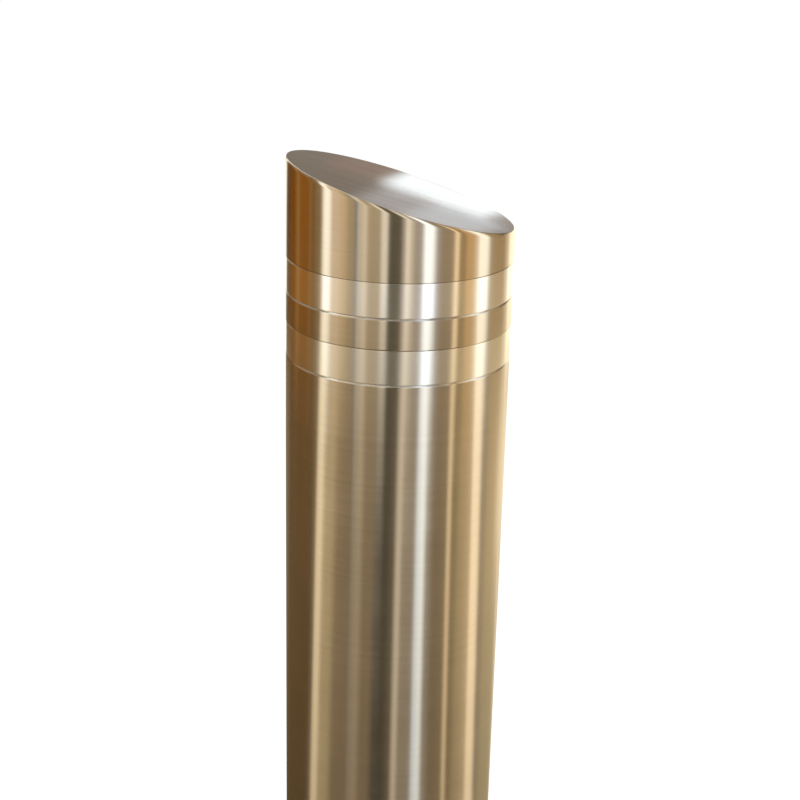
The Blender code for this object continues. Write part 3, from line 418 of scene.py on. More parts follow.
def hairlines_effect():
    """Brushing round Z: fine lines across the height, and across the radius too where Round is 1."""
    w, given, made = effect("hairlines", {"Length": 0.03, "Width": 0.0002, "Round": 0.0}, "Height", "Shade")
    x, y, z = w.node("SeparateXYZ", {"Vector": given["Vector"]}).outputs
    radius = w.vector("LENGTH", {0: w.out("CombineXYZ", {"X": x, "Y": y})})["Value"]
    across = w.math("MULTIPLY_ADD", radius, given["Round"], z)
    lengths = ((x, "Length"), (y, "Length"), (across, "Width"))
    stretched = w.out("CombineXYZ", enumerate(w.math("DIVIDE", value, given[label]) for value, label in lengths))
    fine, coarse = w.noise(stretched, 1.0, 3.0, 0.6), w.noise(stretched, 0.23)
    w.feed(made["Height"], w.total(0.0, (coarse, 0.45), (fine, 0.55)))
    w.feed(made["Shade"], w.spread(w.noise(stretched, 0.09, 3.0, 0.6), 0.3, 0.7))


def clouds_effect():
    """Soft uneven patches of this size, and fine specks between them."""
    w, given, made = effect("clouds", {"Size": 0.05}, "Patch", "Speck")
    scale = w.math("DIVIDE", 1.0, given["Size"])
    patch = w.noise(given["Vector"], scale, 4.0, 0.55)
    speck = w.noise(given["Vector"], w.math("MULTIPLY", scale, 14.0), 2.0, 0.6)
    w.feed(made["Patch"], w.spread(patch, 0.33, 0.67))
    w.feed(made["Speck"], w.spread(speck, 0.35, 0.65))


def spangle_effect():
    """The crystals of a zinc bath: a tone for each, and a seam between them."""
    w, given, made = effect("spangle", {"Size": 0.006}, "Tone", "Height")
    scale = w.math("DIVIDE", 1.0, given["Size"])
    wander = w.node("TexNoise", {"Vector": given["Vector"], "Scale": w.math("MULTIPLY", scale, 0.7)})
    sway = w.vector("SCALE", {0: wander.outputs["Color"], "Scale": 0.004})["Vector"]
    cell = {"Vector": w.vector("ADD", {0: given["Vector"], 1: sway})["Vector"], "Scale": scale}
    tone = w.out("SeparateColor", {"Color": w.node("TexVoronoi", cell).outputs["Color"]})
    w.feed(made["Tone"], tone)
    w.feed(made["Height"], w.spread(w.out("TexVoronoi", cell, feature="DISTANCE_TO_EDGE"), 0.0, 0.12))


def worn_edges_effect():
    """1 where an edge is rounder than the face beside it, broken up by a fine noise."""
    w, given, made = effect("worn_edges", {}, "Mask")
    rounded = w.out("Bevel", {"Radius": 1.2 * MM}, samples=4)
    plain = w.node("NewGeometry").outputs["Normal"]
    edge = w.spread(w.vector("DOT_PRODUCT", {0: rounded, 1: plain})["Value"], 0.99, 0.85)
    chips = w.spread(w.noise(given["Vector"], 420.0, 3.0, 0.7), 0.45, 0.6)
    w.feed(made["Mask"], w.math("MULTIPLY", edge, chips))


# ---------------------------------------- materials


def new_material(name, metallic, **fixed):
    """A Principled material, its wiring and its Object coordinates. Fixed sockets get plain values."""
    material = bpy.data.materials.new(name)
    material.use_nodes = True
    w = Wiring(material.node_tree)
    w.shader = material.node_tree.nodes["Principled BSDF"].inputs
    w.shader["Metallic"].default_value = metallic
    for label, value in fixed.items():
        w.shader[label.replace("_", " ")].default_value = value
    return material, w, w.node("TexCoord").outputs["Object"]


def placed(w, name, spot, **inputs):
    """A shared effect's outputs, in a material."""
    node = w.node("Group", node_tree=bpy.data.node_groups[name])
    for label, value in {"Vector": spot, **inputs}.items():
        w.feed(node.inputs[label], value)
    return node.outputs


def surface(w, colour, roughness, height, depth):
    """A shader's colour and roughness, and its relief: a height between 0 and 1, this many metres deep."""
    w.feed(w.shader["Base Color"], colour)
    w.feed(w.shader["Roughness"], roughness)
    if depth:
        w.feed(w.shader["Normal"], w.out("Bump", {"Height": height, "Distance": depth}))


def brushed_metal(name, dark, pale, roughness, anisotropic, line_length, line_width, depth, lathe=0.0):
    """Metal brushed or turned round Z."""
    material, w, spot = new_material(name, 1.0, Anisotropic=anisotropic, Anisotropic_Rotation=0.25)
    lines = placed(w, "hairlines", spot, Length=line_length, Width=line_width, Round=lathe)
    patch = placed(w, "clouds", spot, Size=0.045)["Patch"]
    tone = w.total(w.spread(lines["Height"], 0.35, 0.65, 0.2, 0.36), (patch, 0.25), (lines["Shade"], 0.2))
    rough = w.total(roughness - 0.025, (lines["Shade"], 0.02), (patch, 0.03))
    surface(w, w.mix(tone, dark, pale), rough, lines["Height"], depth)
    return material


def plate_metal(name, dark, pale, roughness):
    """The cap's plate, brushed along its slope."""
    material, w, spot = new_material(name, 1.0)
    level = w.out("Mapping", {"Vector": spot, "Rotation": (0.0, CAP_SLOPE, 0.0)})
    laid = w.out("Mapping", {"Vector": level, "Rotation": (math.radians(90), 0.0, 0.0)})
    fine = placed(w, "hairlines", laid, Length=0.02, Width=0.0004)
    broad = placed(w, "hairlines", laid, Length=0.05, Width=0.003)
    patch = placed(w, "clouds", spot, Size=0.06)["Patch"]
    streaks = w.spread(broad["Height"], 0.38, 0.62, 0.0, 0.5)
    tone = w.total(streaks, (fine["Shade"], 0.25), (broad["Shade"], 0.25))
    rough = w.total(roughness - 0.04, (patch, 0.03), (broad["Shade"], 0.05))
    surface(w, w.mix(tone, dark, pale), rough, w.total(fine["Height"], (broad["Height"], 4.0)), 0.008 * MM)
    return material


def zinc_coat(name, dark, pale, roughness, size, depth):
    """Hot-dip galvanising: spangle, a dull bloom in patches, and edges rubbed brighter."""
    material, w, spot = new_material(name, 0.4)
    crystals, clouds = placed(w, "spangle", spot, Size=size), placed(w, "clouds", spot, Size=0.07)
    tone = w.total(0.0, (clouds["Patch"], 0.45), (crystals["Tone"], 0.55))
    tone = w.math("MAXIMUM", tone, placed(w, "worn_edges", spot)["Mask"])
    rough = w.total(roughness - 0.12, (clouds["Patch"], 0.12), (crystals["Tone"], 0.14))
    surface(w, w.mix(tone, dark, pale), rough, w.total(crystals["Height"], (clouds["Speck"], 0.5)), depth)
    return material


def plated(name, dark, pale, roughness, depth=0.01 * MM):
    """A thin bright plating over turned or cold-headed steel."""
    material, w, spot = new_material(name, 1.0)
    clouds, lines = placed(w, "clouds", spot, Size=0.012), placed(w, "hairlines", spot, Length=0.01, Width=0.0002)
    rough, height = w.total(roughness, (clouds["Speck"], 0.08)), w.total(lines["Height"], (clouds["Speck"], 0.5))
    surface(w, w.mix(clouds["Patch"], dark, pale), rough, height, depth)
    return material


def coated(name, dark, pale, roughness, depth, size, wear=None):
    """Paint, rubber or plastic: specks and patches in the surface, and wear on edges where wear is a colour."""
    material, w, spot = new_material(name, 0.0)
    clouds = placed(w, "clouds", spot, Size=size)
    colour = w.mix(clouds["Patch"], dark, pale)
    if wear:
        colour = w.mix(placed(w, "worn_edges", spot)["Mask"], colour, wear)
    surface(w, colour, w.total(roughness, (clouds["Speck"], 0.1)), clouds["Speck"], depth)
    return material


CAP_SLOPE = math.radians(16.6)
STAINLESS = (0.64, 0.56, 0.44), (0.80, 0.70, 0.56)
for make_effect in (hairlines_effect, clouds_effect, spangle_effect, worn_edges_effect):
    make_effect()
materials = {
    "stainless": brushed_metal("brushed_stainless", *STAINLESS, 0.19, 0.95, 0.03, 0.0002, 0.006 * MM),
    "plate": plate_metal("plate_stainless", (0.62, 0.545, 0.435), (0.80, 0.715, 0.59), 0.10),
    "upper_film": brushed_metal("upper_film", (0.91, 0.85, 0.76), (0.98, 0.925, 0.84), 0.21, 0.87, 0.03, 0.0003, 0),
    "lower_film": brushed_metal("lower_film", (0.90, 0.84, 0.73), (0.97, 0.91, 0.80), 0.24, 0.86, 0.03, 0.0003, 0),
    "machined": plated("machined_edge", (0.66, 0.63, 0.58), (0.78, 0.76, 0.72), 0.18),
    "cover": brushed_metal(
        "turned_stainless", (0.54, 0.525, 0.505), (0.61, 0.595, 0.57), 0.31, 0.80, 0.05, 0.0004, 0.02 * MM, lathe=1.0
    ),
    "galvanised": zinc_coat("galvanised_steel", (0.40, 0.42, 0.44), (0.66, 0.68, 0.70), 0.42, 0.008, 0.03 * MM),
    "zinc": plated("zinc_plate", (0.56, 0.57, 0.57), (0.70, 0.71, 0.70), 0.28),
    "black_enamel": coated(
        "black_enamel", (0.018, 0.018, 0.02), (0.030, 0.030, 0.033), 0.3, 0.02 * MM, 0.02, wear=(0.20, 0.19, 0.18)
    ),
    "hard_chrome": plated("hard_chrome", (0.74, 0.75, 0.76), (0.80, 0.81, 0.82), 0.07, depth=0.002 * MM),
    "bronze": plated("bronze", (0.50, 0.30, 0.13), (0.63, 0.42, 0.20), 0.32),
    "rubber": coated("rubber", (0.018, 0.018, 0.018), (0.034, 0.033, 0.032), 0.6, 0.03 * MM, 0.01),
    "nylon": coated("nylon", (0.72, 0.70, 0.62), (0.80, 0.78, 0.70), 0.4, 0.01 * MM, 0.02),
    "sensor_plastic": coated("sensor_plastic", (0.03, 0.10, 0.26), (0.045, 0.14, 0.33), 0.35, 0.01 * MM, 0.01),
}


# ---------------------------------------- shaping and placing pieces, in millimetres

FINE, MEDIUM, SMALL = 192, 64, 48  # facets round the post, cover and casing; round rods, ram and bushes; round screws
SOFT_EDGE, EDGE_STEPS = 0.3, 3
barrel_radius = half_width("casing_barrel")
STEADY = 0.6  # from a corner to the ring that keeps the shading of the flat beside it flat
LONG_FLAT = 4.79  # from which a flat gets such rings
SHARP = math.radians(32)
TINY, MERGED = 0.01, 0.002  # below these, two places count as the same and are made one
AXIS = (0.0, 0.0)
GAP = 0.3
THREAD_DEPTH, THREAD_TURN = 0.6, (0.05, 0.45, 0.6)  # of the pitch: depth, and where a turn rises, crests and falls
THREAD_PLAY = 0.05
HEAD_SHOULDER, HEAD_SLOPE = 0.475, math.tan(math.radians(30))  # of the flats


def extruded(bm, edges):
    """Extrudes these edges. Returns the new verts and edges."""
    grown = bmesh.ops.extrude_edge_only(bm, edges=edges)["geom"]
    return [[item for item in grown if isinstance(item, kind)] for kind in (BMVert, BMEdge)]


def bevelled(bm, geom, offset, segments=EDGE_STEPS, affect="VERTICES"):
    bmesh.ops.bevel(bm, geom=geom, offset=offset, segments=segments, profile=0.5, affect=affect, material=-1)


def closed(bm):
    """The mesh of a finished shape, faces outwards."""
    bmesh.ops.recalc_face_normals(bm, faces=bm.faces)
    return mesh_from(bm)


def outline_face(bm, outline):
    """A flat face in the XZ plane whose corners are these (radius, height) pairs."""
    return bm.faces.new([bm.verts.new((radius, 0, height)) for radius, height in outline])


def lathe(outline, steps=FINE, soften=SOFT_EDGE):
    """The closed shape that an outline sweeps about Z, with softened corners."""
    bm = bmesh.new()
    outline_face(bm, outline)
    if soften:
        bevelled(bm, [vert for vert in bm.verts if vert.co.x > TINY], soften)
    bmesh.ops.delete(bm, geom=list(bm.faces), context="FACES_ONLY")
    on_axis = [edge for edge in bm.edges if max(vert.co.x for vert in edge.verts) < TINY]
    bmesh.ops.delete(bm, geom=on_axis, context="EDGES_FACES")
    for edge in [edge for edge in bm.edges if edge.calc_length() > LONG_FLAT]:
        for end in list(edge.verts):
            bmesh.utils.edge_split(edge, end, STEADY / edge.calc_length())
    parts = list(bm.verts) + list(bm.edges)
    turn = {"cent": (0, 0, 0), "axis": (0, 0, 1), "angle": 2 * math.pi}
    bmesh.ops.spin(bm, geom=parts, steps=steps, use_merge=True, **turn)
    bmesh.ops.remove_doubles(bm, verts=bm.verts, dist=MERGED)
    return closed(bm)


def slab(bm, offset, soften, segments):
    """The flat shape made this much thicker, its sharp edges softened."""
    grown = bmesh.ops.extrude_face_region(bm, geom=list(bm.faces))["geom"]
    bmesh.ops.translate(bm, verts=[item for item in grown if isinstance(item, BMVert)], vec=offset)
    bmesh.ops.recalc_face_normals(bm, faces=bm.faces)
    sharp = [edge for edge in bm.edges if edge.calc_face_angle(0) > SHARP]
    bevelled(bm, sharp, soften, segments, "EDGES")
    return closed(bm)


def painted(mesh, choose, *looks):
    """The mesh in these materials, of which choose gives each face's number."""
    for look in looks:
        mesh.materials.append(materials[look])
    for face in mesh.polygons:
        face.material_index = int(choose(face))
    return mesh


def place_piece(name, mesh, node=None, look=None):
    """A finished piece that stands for this node and moves with it. Without a node it is a weld on the casing."""
    slot = slot_of.get(node, "galvanised")
    mesh.name = name
    mesh.transform(Matrix.Scale(MM, 4))
    if not mesh.materials:
        mesh.materials.append(materials[look or slot])
    mesh.shade_smooth()
    mesh.set_sharp_from_angle(angle=SHARP)
    piece = link(name, mesh)
    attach(piece, body_of.get(node, "casing"))
    if node:
        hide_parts(node)


def moved(mesh, matrix):
    """A copy of a mesh, moved or turned into place."""
    copy = mesh.copy()
    copy.transform(matrix)
    return copy


def radial(degrees, height):
    """Lays a piece made along Z so that it points outwards at this angle and height."""
    return Matrix.Translation((0, 0, height)) @ turned(degrees) @ turned(90, "Y")


def place_each(name, mesh, node):
    """The same mesh, made on the axis, at the middle of each numbered node and turned to face outwards."""
    for number, (x, y) in enumerate(middles(node), 1):
        there = Matrix.Translation((x, y, 0)) @ Matrix.Rotation(math.atan2(y, x), 4, "Z")
        place_piece(f"{name}_{number}", moved(mesh, there), f"{node}_{number}")


def settled(obj, *tools):
    """The mesh of an object with its modifiers. The object and its tools are removed."""
    bpy.context.view_layer.update()
    mesh = bpy.data.meshes.new_from_object(obj.evaluated_get(bpy.context.evaluated_depsgraph_get()))
    for used in (obj, *tools):
        bpy.data.objects.remove(used)
    return mesh


def carved(mesh, *tools):
    """The mesh with these closed shapes cut out of it."""
    obj = link("blank", mesh)
    cutters = [link("cutter", tool) for tool in tools]
    for cutter in cutters:
        cut = obj.modifiers.new("Cut", "BOOLEAN")
        cut.object, cut.solver = cutter, "EXACT"
    return settled(obj, *cutters)


def shape_ring(verts, shape, centre):
    """Moves verts onto a ring: a (radius, height) pair, or a function that gives one for each angle."""
    for vert in verts:
        angle = math.atan2(vert.co.y - centre[1], vert.co.x - centre[0])
        radius, height = shape(angle) if callable(shape) else shape
        vert.co = (centre[0] + radius * math.cos(angle), centre[1] + radius * math.sin(angle), height)


def walls(bm, shapes, steps, centre):
    """A ring extruded through these shapes. Returns its first and last edges."""
    verts = bmesh.ops.create_circle(bm, cap_ends=False, radius=1, segments=steps)["verts"]
    bmesh.ops.translate(bm, verts=verts, vec=(*centre, 0))
    shape_ring(verts, shapes[0], centre)
    first = last = list(dict.fromkeys(edge for vert in verts for edge in vert.link_edges))
    for shape in shapes[1:]:
        verts, last = extruded(bm, last)
        shape_ring(verts, shape, centre)
    return first, last


def drilled(through, upper=(), lower=()):
    """A plate whose rims and holes are given as (shapes, facets, *places), the shapes running downwards.

    Without a place they lie on the axis. Through rims and holes reach both faces. Upper holes end blind below the
    top, lower ones above the bottom.
    """
    bm = bmesh.new()
    tops, bottoms = [], []
    for openings, starts, ends in ((through, tops, bottoms), (upper, tops, None), (lower, bottoms, None)):
        for shapes, steps, *places in openings:
            for place in places or [AXIS]:
                first, last = walls(bm, shapes, steps, place)
                starts.extend(first)
                if ends is None:
                    bmesh.ops.contextual_create(bm, geom=last)
                else:
                    ends.extend(last)
    for edges in (tops, bottoms):
        bmesh.ops.triangle_fill(bm, use_beauty=True, edges=edges)
    return closed(bm)


def rim(radius, bottom, top, soften=SOFT_EDGE):
    """A plate's round outside, its edges softened, running downwards. With soften below 0 they flare as a hole's."""
    inner, edge = radius - soften, abs(soften)
    return [(inner, top), (radius, top - edge), (radius, bottom + edge), (inner, bottom)]


def hole(radius, bottom, top, soften=SOFT_EDGE):
    """A through hole, its edges softened, running downwards."""
    return rim(radius, bottom, top, -soften)


def disc(node, edge, *holes):
    """What drilled needs for a round plate with this node's size and each hole's (radius, edge, facets, *places)."""
    low, high = span(node)
    through = [(hole(radius, low, high, soften), *others) for radius, soften, *others in holes]
    return [(rim(half_width(node), low, high, edge), FINE), *through]


def hexagonal(flats, height, shoulder=0.0, slope=0.0):
    """A hexagonal ring's shape, whose corners beyond the shoulder radius drop or rise with this slope."""

    def shape(angle):
        radius = flats / 2 / math.cos((angle % math.radians(60)) - math.radians(30))
        return radius, height + slope * max(0.0, radius - shoulder)

    return shape


def hexagon(flats, low, high):
    """A hexagon's sides with chamfered corners, running downwards."""
    shoulder = HEAD_SHOULDER * flats
    sides = [hexagonal(flats, high, shoulder, -HEAD_SLOPE), hexagonal(flats, low, shoulder, HEAD_SLOPE)]
    return [(shoulder, high), *sides, (shoulder, low)]


def key_socket(face, depth, way):
    """A hexagon socket in a screw's face, which goes up where way is 1 and down where it is -1."""
    end = face + way * depth
    mouth = hexagonal(SOCKET_FLATS + 2 * SOCKET_CHAMFER, face)
    sides = [hexagonal(SOCKET_FLATS, face + way * SOCKET_CHAMFER), hexagonal(SOCKET_FLATS, end)]
    return [mouth, *sides, (SOCKET_POINT, end + way * SOCKET_POINT)]


def thread(radius, pitch, low, high):
    """The outline of a thread between two heights, running upwards."""
    root, outline = radius - THREAD_DEPTH * pitch, []
    for turn in range(int((high - low) / pitch)):
        start = low + turn * pitch
        foot, crest, end = (start + part * pitch for part in THREAD_TURN)
        outline += [(root, foot), (radius, crest), (radius, end)]
    return outline


def loose(stud_size):
    """The bore through which a stud of this radius and pitch goes loosely."""
    return stud_size[0] + GAP


def stud(radius, pitch, low, high):
    """The outline of a stud threaded from end to end, running upwards."""
    root = radius - THREAD_DEPTH * pitch
    return [(root, low), *thread(radius, pitch, low, high), (root, high)]


def nut_mesh(flats, radius, pitch, bottom, top):
    """A hexagonal nut with chamfered corners and a threaded bore, for a stud of this radius."""
    bore = radius + THREAD_PLAY
    low, high = bottom + pitch, top - pitch
    crests = [(radius + THREAD_DEPTH * pitch, height) for radius, height in thread(bore, pitch, low, high)]
    inside = [(bore + pitch, top), (bore, high), *crests[::-1], (bore, low), (bore + pitch, bottom)]
    return drilled([(hexagon(flats, bottom, top), SMALL), (inside, SMALL)])


def place_nut(name, node, *sizes):
    place_piece(name, nut_mesh(*sizes, *span(node)), node)


def tube(inner, outer, low, high):
    """The outline of a plain ring, which starts at its inside's foot."""
    return [(inner, low), (outer, low), (outer, high), (inner, high)]


def collar(inner, outer, low, high, bevel):
    """The outline of a ring with chamfered outer edges."""
    side = [(outer - bevel, low), (outer, low + bevel), (outer, high - bevel), (outer - bevel, high)]
    return [(inner, low), *side, (inner, high)]


def solid(shapes, steps=SMALL):
    """The closed shape between a first and a last ring."""
    return drilled([(shapes, steps)])


# ---------------------------------------- the post

POST_WALL, CAP_PLATE = 5, 8
GROOVE_CHAMFER, GROOVE_EDGE = 1.5, 0.12
FILM, FILM_CHAMFER, FILM_EDGE, FILM_OVER_GROOVE = 0.5, 0.25, 0.05, 0.8
DRESSED_LENGTH = 3.2  # of the cap's side, which leans in under its rim
DRESSED_LEAN = math.radians(32)  # at the end of that length
DRESSED_GROWTH = 1.4  # power at which the lean grows
RIM_EDGE = 0.35
DRESSED_STEPS, RIM_STEPS = 20, 5
LIP_TILT = 0.2, 0.95  # how far upwards, between these, a groove's or film's machined chamfer faces

post_radius = half_width("post_tube")
groove_radius = half_width("upper_reflective_band") - FILM_OVER_GROOVE


def rim_steps():
    """How far in and how far below the cap's plane each ring of its rim lies, from the side to the plate."""
    leans = [DRESSED_LEAN * ((i + 0.5) / DRESSED_STEPS) ** DRESSED_GROWTH for i in range(DRESSED_STEPS)]
    turn = (math.pi / 2 - DRESSED_LEAN) / RIM_STEPS
    leans += [DRESSED_LEAN + turn * (i + 0.5) for i in range(RIM_STEPS)]
    steps = [DRESSED_LENGTH / DRESSED_STEPS] * DRESSED_STEPS + [RIM_EDGE * turn] * RIM_STEPS
    moves = [(step * math.sin(lean), step * math.cos(lean)) for step, lean in zip(steps, leans)]
    inset, drop = 0.0, sum(rise for _, rise in moves)
    rings = [(inset, drop)]
    for inward, rise in moves:
        inset, drop = inset + inward, drop - rise
        rings.append((inset, drop))
    return rings


def grow_ring(bm, edges, radius, centre_height):
    """Extrudes a ring of edges to a ring of this radius on the cap's slope."""
    verts, edges = extruded(bm, edges)
    for vert in verts:
        flat = vert.co.xy.normalized() * radius
        vert.co = (*flat, centre_height - flat.x * math.tan(CAP_SLOPE))
    return edges


def build_cap():
    """The slanted cap: skirt, leaning rim and plate outside, and its hollow inside."""
    low, high = span("slanted_cap")
    rings = rim_steps()
    centre = high - (post_radius - rings[-1][0]) * math.tan(CAP_SLOPE)
    inner = post_radius - POST_WALL
    bm = bmesh.new()
    foot = Matrix.Translation((0, 0, low))
    bmesh.ops.create_circle(bm, cap_ends=False, radius=post_radius, segments=FINE, matrix=foot)
    ring = list(bm.edges)
    for inset, drop in rings:
        ring = grow_ring(bm, ring, post_radius - inset, centre - drop)
    bmesh.ops.contextual_create(bm, geom=ring)
    verts, lip = extruded(bm, [edge for edge in bm.edges if edge.is_boundary])
    for vert in verts:
        vert.co.xy *= inner / post_radius
    ceiling = grow_ring(bm, lip, inner, centre - CAP_PLATE / math.cos(CAP_SLOPE))
    bmesh.ops.contextual_create(bm, geom=ceiling)
    edge_foot = centre - rings[DRESSED_STEPS][1] + TINY

    def choose(face):
        if len(face.vertices) == FINE and face.normal.z > 0:
            return 1
        return 2 if face.center.z + face.center.x * math.tan(CAP_SLOPE) > edge_foot else 0

    place_piece("cap_shell", painted(closed(bm), choose, "stainless", "plate", "machined"), "slanted_cap")


def build_sleeve():
    """The tube, with a groove for each band and a chamfer under it, and the bands' films."""
    bottom, seam = span("post_tube")
    inner, upper, lower = post_radius - POST_WALL, span("upper_reflective_band")[0], span("lower_reflective_band")
    floor, lip = groove_radius, lower[1] + GAP
    outline = [(inner, bottom), (post_radius, bottom), (post_radius, lower[0] - GROOVE_CHAMFER), (floor, lower[0])]
    outline += [(floor, lip), (post_radius, lip), (post_radius, upper - GROOVE_CHAMFER), (floor, upper)]
    sleeve = lathe([*outline, (floor, seam), (inner, seam)], soften=GROOVE_EDGE)

    def on_lip(face):
        return LIP_TILT[0] < face.normal.z < LIP_TILT[1] and face.center.z < upper + 1

    place_piece("post_sleeve", painted(sleeve, on_lip, "stainless", "machined"), "post_tube")
    for name in ("upper", "lower"):
        node = name + "_reflective_band"
        low, high = span(node)
        outer = half_width(node)
        band = [(outer - FILM, low), (outer, low), (outer, high - FILM_CHAMFER), (outer - FILM_CHAMFER, high)]
        film = lathe([*band, (outer - FILM, high)], soften=FILM_EDGE)
        painted(film, lambda face: face.normal.z > LIP_TILT[0], name + "_film", "machined")
        place_piece(name + "_band_film", film, node)


# ---------------------------------------- cover

COVER_SCREW, COVER_SCREW_TIP = (5, 1.5), 3.9
COUNTERSINK_CONE, SCREW_LAND = 5, 0.6
COVER_BORE, COVER_CHAMFER = 86, 1.5
GASKET_EDGE, GASKET_HOLE_EDGE = 0.4, 0.1
SOCKET_FLATS, SOCKET_DEPTH, SOCKET_CHAMFER, SOCKET_POINT = 6, 3.7, 0.3, 1
GUIDE_STUD, ROD_RADIUS, ROD_NUT_FLATS = (6, 1.75), 8, 18
CASING_WALL = 5


def build_cover():
    """Cover ring with countersunk screws, its gasket, and the wiper that hugs the post."""
    bottom, ground = span("cover_flange")
    outer, seat = half_width("cover_flange"), half_width("wiper_ring")
    recess, ledge = seat + GAP, span("wiper_ring")[0] - GAP
    head_bottom, head_top = span("cover_screw_1")
    sides = box("cover_screw_2")
    head = (sides[1].y - sides[0].y) / 2
    rim_height = head_top - SCREW_LAND
    neck = rim_height - COUNTERSINK_CONE
    outside = [(outer - COVER_CHAMFER, ground), (outer, ground - COVER_CHAMFER), (outer, bottom + GAP)]
    inside = [(recess + GAP, ground), (recess, ground - GAP), (recess, ledge), (COVER_BORE, ledge)]
    sink = [(head + GAP, ground), (head + GAP, rim_height), (loose(COVER_SCREW), neck), (loose(COVER_SCREW), bottom)]
    screws = middles("cover_screw")
    sockets = [(loose(GUIDE_STUD), bottom), (loose(GUIDE_STUD), span("guide_rod_1")[1] + GAP)]
    through = [([*outside, (outer - GAP, bottom)], FINE), ([*inside, (COVER_BORE, bottom)], FINE)]
    mesh = drilled([*through, (sink, SMALL, *screws)], lower=[(sockets, SMALL, *middles("guide_rod"))])
    place_piece("turned_cover", mesh, "cover_flange", "cover")

    thread_top = neck - 3
    shank = thread(*COVER_SCREW, head_bottom + 0.6, thread_top)
    shank = [(COVER_SCREW_TIP, head_bottom), *shank, (COVER_SCREW[0], thread_top + 1)]
    shank += [(COVER_SCREW[0], neck), (head, rim_height), (head, head_top - 0.2), (head - 0.2, head_top)]
    screw = drilled([(shank[::-1], SMALL)], upper=[(key_socket(head_top, SOCKET_DEPTH, -1), SMALL)])
    place_each("countersunk_screw", screw, "cover_screw")

    inside = (barrel_radius - CASING_WALL, SOFT_EDGE, FINE)
    gasket = disc("cover_gasket", GASKET_EDGE, inside, (loose(COVER_SCREW), GASKET_HOLE_EDGE, SMALL, *screws))
    place_piece("cut_gasket", drilled(gasket), "cover_gasket")

    low, high = span("wiper_ring")
    lip = post_radius + 0.4
    wiper = [(lip + 1.5, low), (seat, low), (seat, ground), (lip + 4.5, ground)]
    wiper += [(lip + 3.2, ground + 0.9), (lip + 0.8, high), (lip, high), (lip, ground)]
    wiper.append((lip + 1.5, ground - 1.5))
    place_piece("wiper_seal", lathe(wiper, soften=0.15), "wiper_ring")


# ---------------------------------------- casing

PIPE_WALL = 3
BASE_CORNER, BASE_CORNER_STEPS = 20, 16
BAR_RADIUS, BAR_BEND, BAR_LEG = 5, 15, 80
BAR_FACETS, BEND_STEPS = 16, 8
RIB_SPACING, RIB_HEIGHT, RIB_STEPS = 6, 0.5, 4
BAR_WELD_AWAY, BAR_WELD_INWARD, BAR_WELD_FOOT, BAR_WELD_LENGTH, BAR_WELD_SHARE = 4, 2.5, 6, BAR_LEG - 16, 0.8
PLATE_EDGE, TAPPED_FLOOR = 0.6, 1.5
WELD, WELD_OFFSET, PIPE_WELD_OFFSET = 6, 1.5, 0.5
WELD_BELOW_FLANGE, WELD_ABOVE_BASE = 0.5, 0.8
BEAD_STEP, BEAD_DIP = 1.6, 0.84  # between a bead's ripples, and how much thinner it is between them


def weld_bead(name, points, width=WELD, cyclic=True):
    """A rippled bead of weld along these points, on the casing."""
    curve = bpy.data.curves.new(name, "CURVE")
    curve.dimensions = "3D"
    curve.bevel_depth, curve.bevel_resolution = width / 2, 2
    curve.use_fill_caps = True
    spline = curve.splines.new("POLY")
    spline.use_cyclic_u = cyclic
    spline.points.add(len(points) - 1)
    for number, (point, place) in enumerate(zip(spline.points, points)):
        point.co = (*place, 1)
        point.radius = 1.0 if number % 2 else BEAD_DIP
    bm = bmesh.new()
    bm.from_mesh(settled(link(name, curve)))
    bmesh.ops.remove_doubles(bm, verts=bm.verts, dist=TINY)
    place_piece(name, closed(bm))


def circle_of(count, radius, start=0.0):
    """Evenly spaced places on a circle, from this angle."""
    turns = [math.radians(start) + 2 * math.pi * i / count for i in range(count)]
    return [(radius * math.cos(turn), radius * math.sin(turn)) for turn in turns]


def ripples(radius):
    return 2 * round(math.pi * radius / BEAD_STEP)


def weld_round(name, height):
    """A bead round the barrel."""
    radius = barrel_radius + WELD_OFFSET
    weld_bead(name, [(*place, height) for place in circle_of(ripples(radius), radius)])


def build_pipe(name, node, degrees, radius, height):
    """A pipe stub with its weld, and the shape of the hole it needs in the barrel."""
    outward = turned(degrees).to_3x3() @ Vector((1, 0, 0))
    start, end = sorted(abs(corner.dot(outward)) for corner in box(node))
    place = radial(degrees, height)
    outline = tube(radius - PIPE_WALL, radius, start, end)
    place_piece(name, moved(lathe(outline, MEDIUM, 0.5), place), node)
    bead = radius + PIPE_WELD_OFFSET
    around = circle_of(ripples(bead), bead)
    meeting = [(math.sqrt(barrel_radius**2 - across**2), across, rise) for across, rise in around]
    place_weld = Matrix.Translation((0, 0, height)) @ turned(degrees)
    weld_bead(name + "_weld", [tuple(place_weld @ Vector(point)) for point in meeting])
    return moved(lathe(tube(0, radius + GAP, start / 2, 2 * barrel_radius), MEDIUM, 0), place)


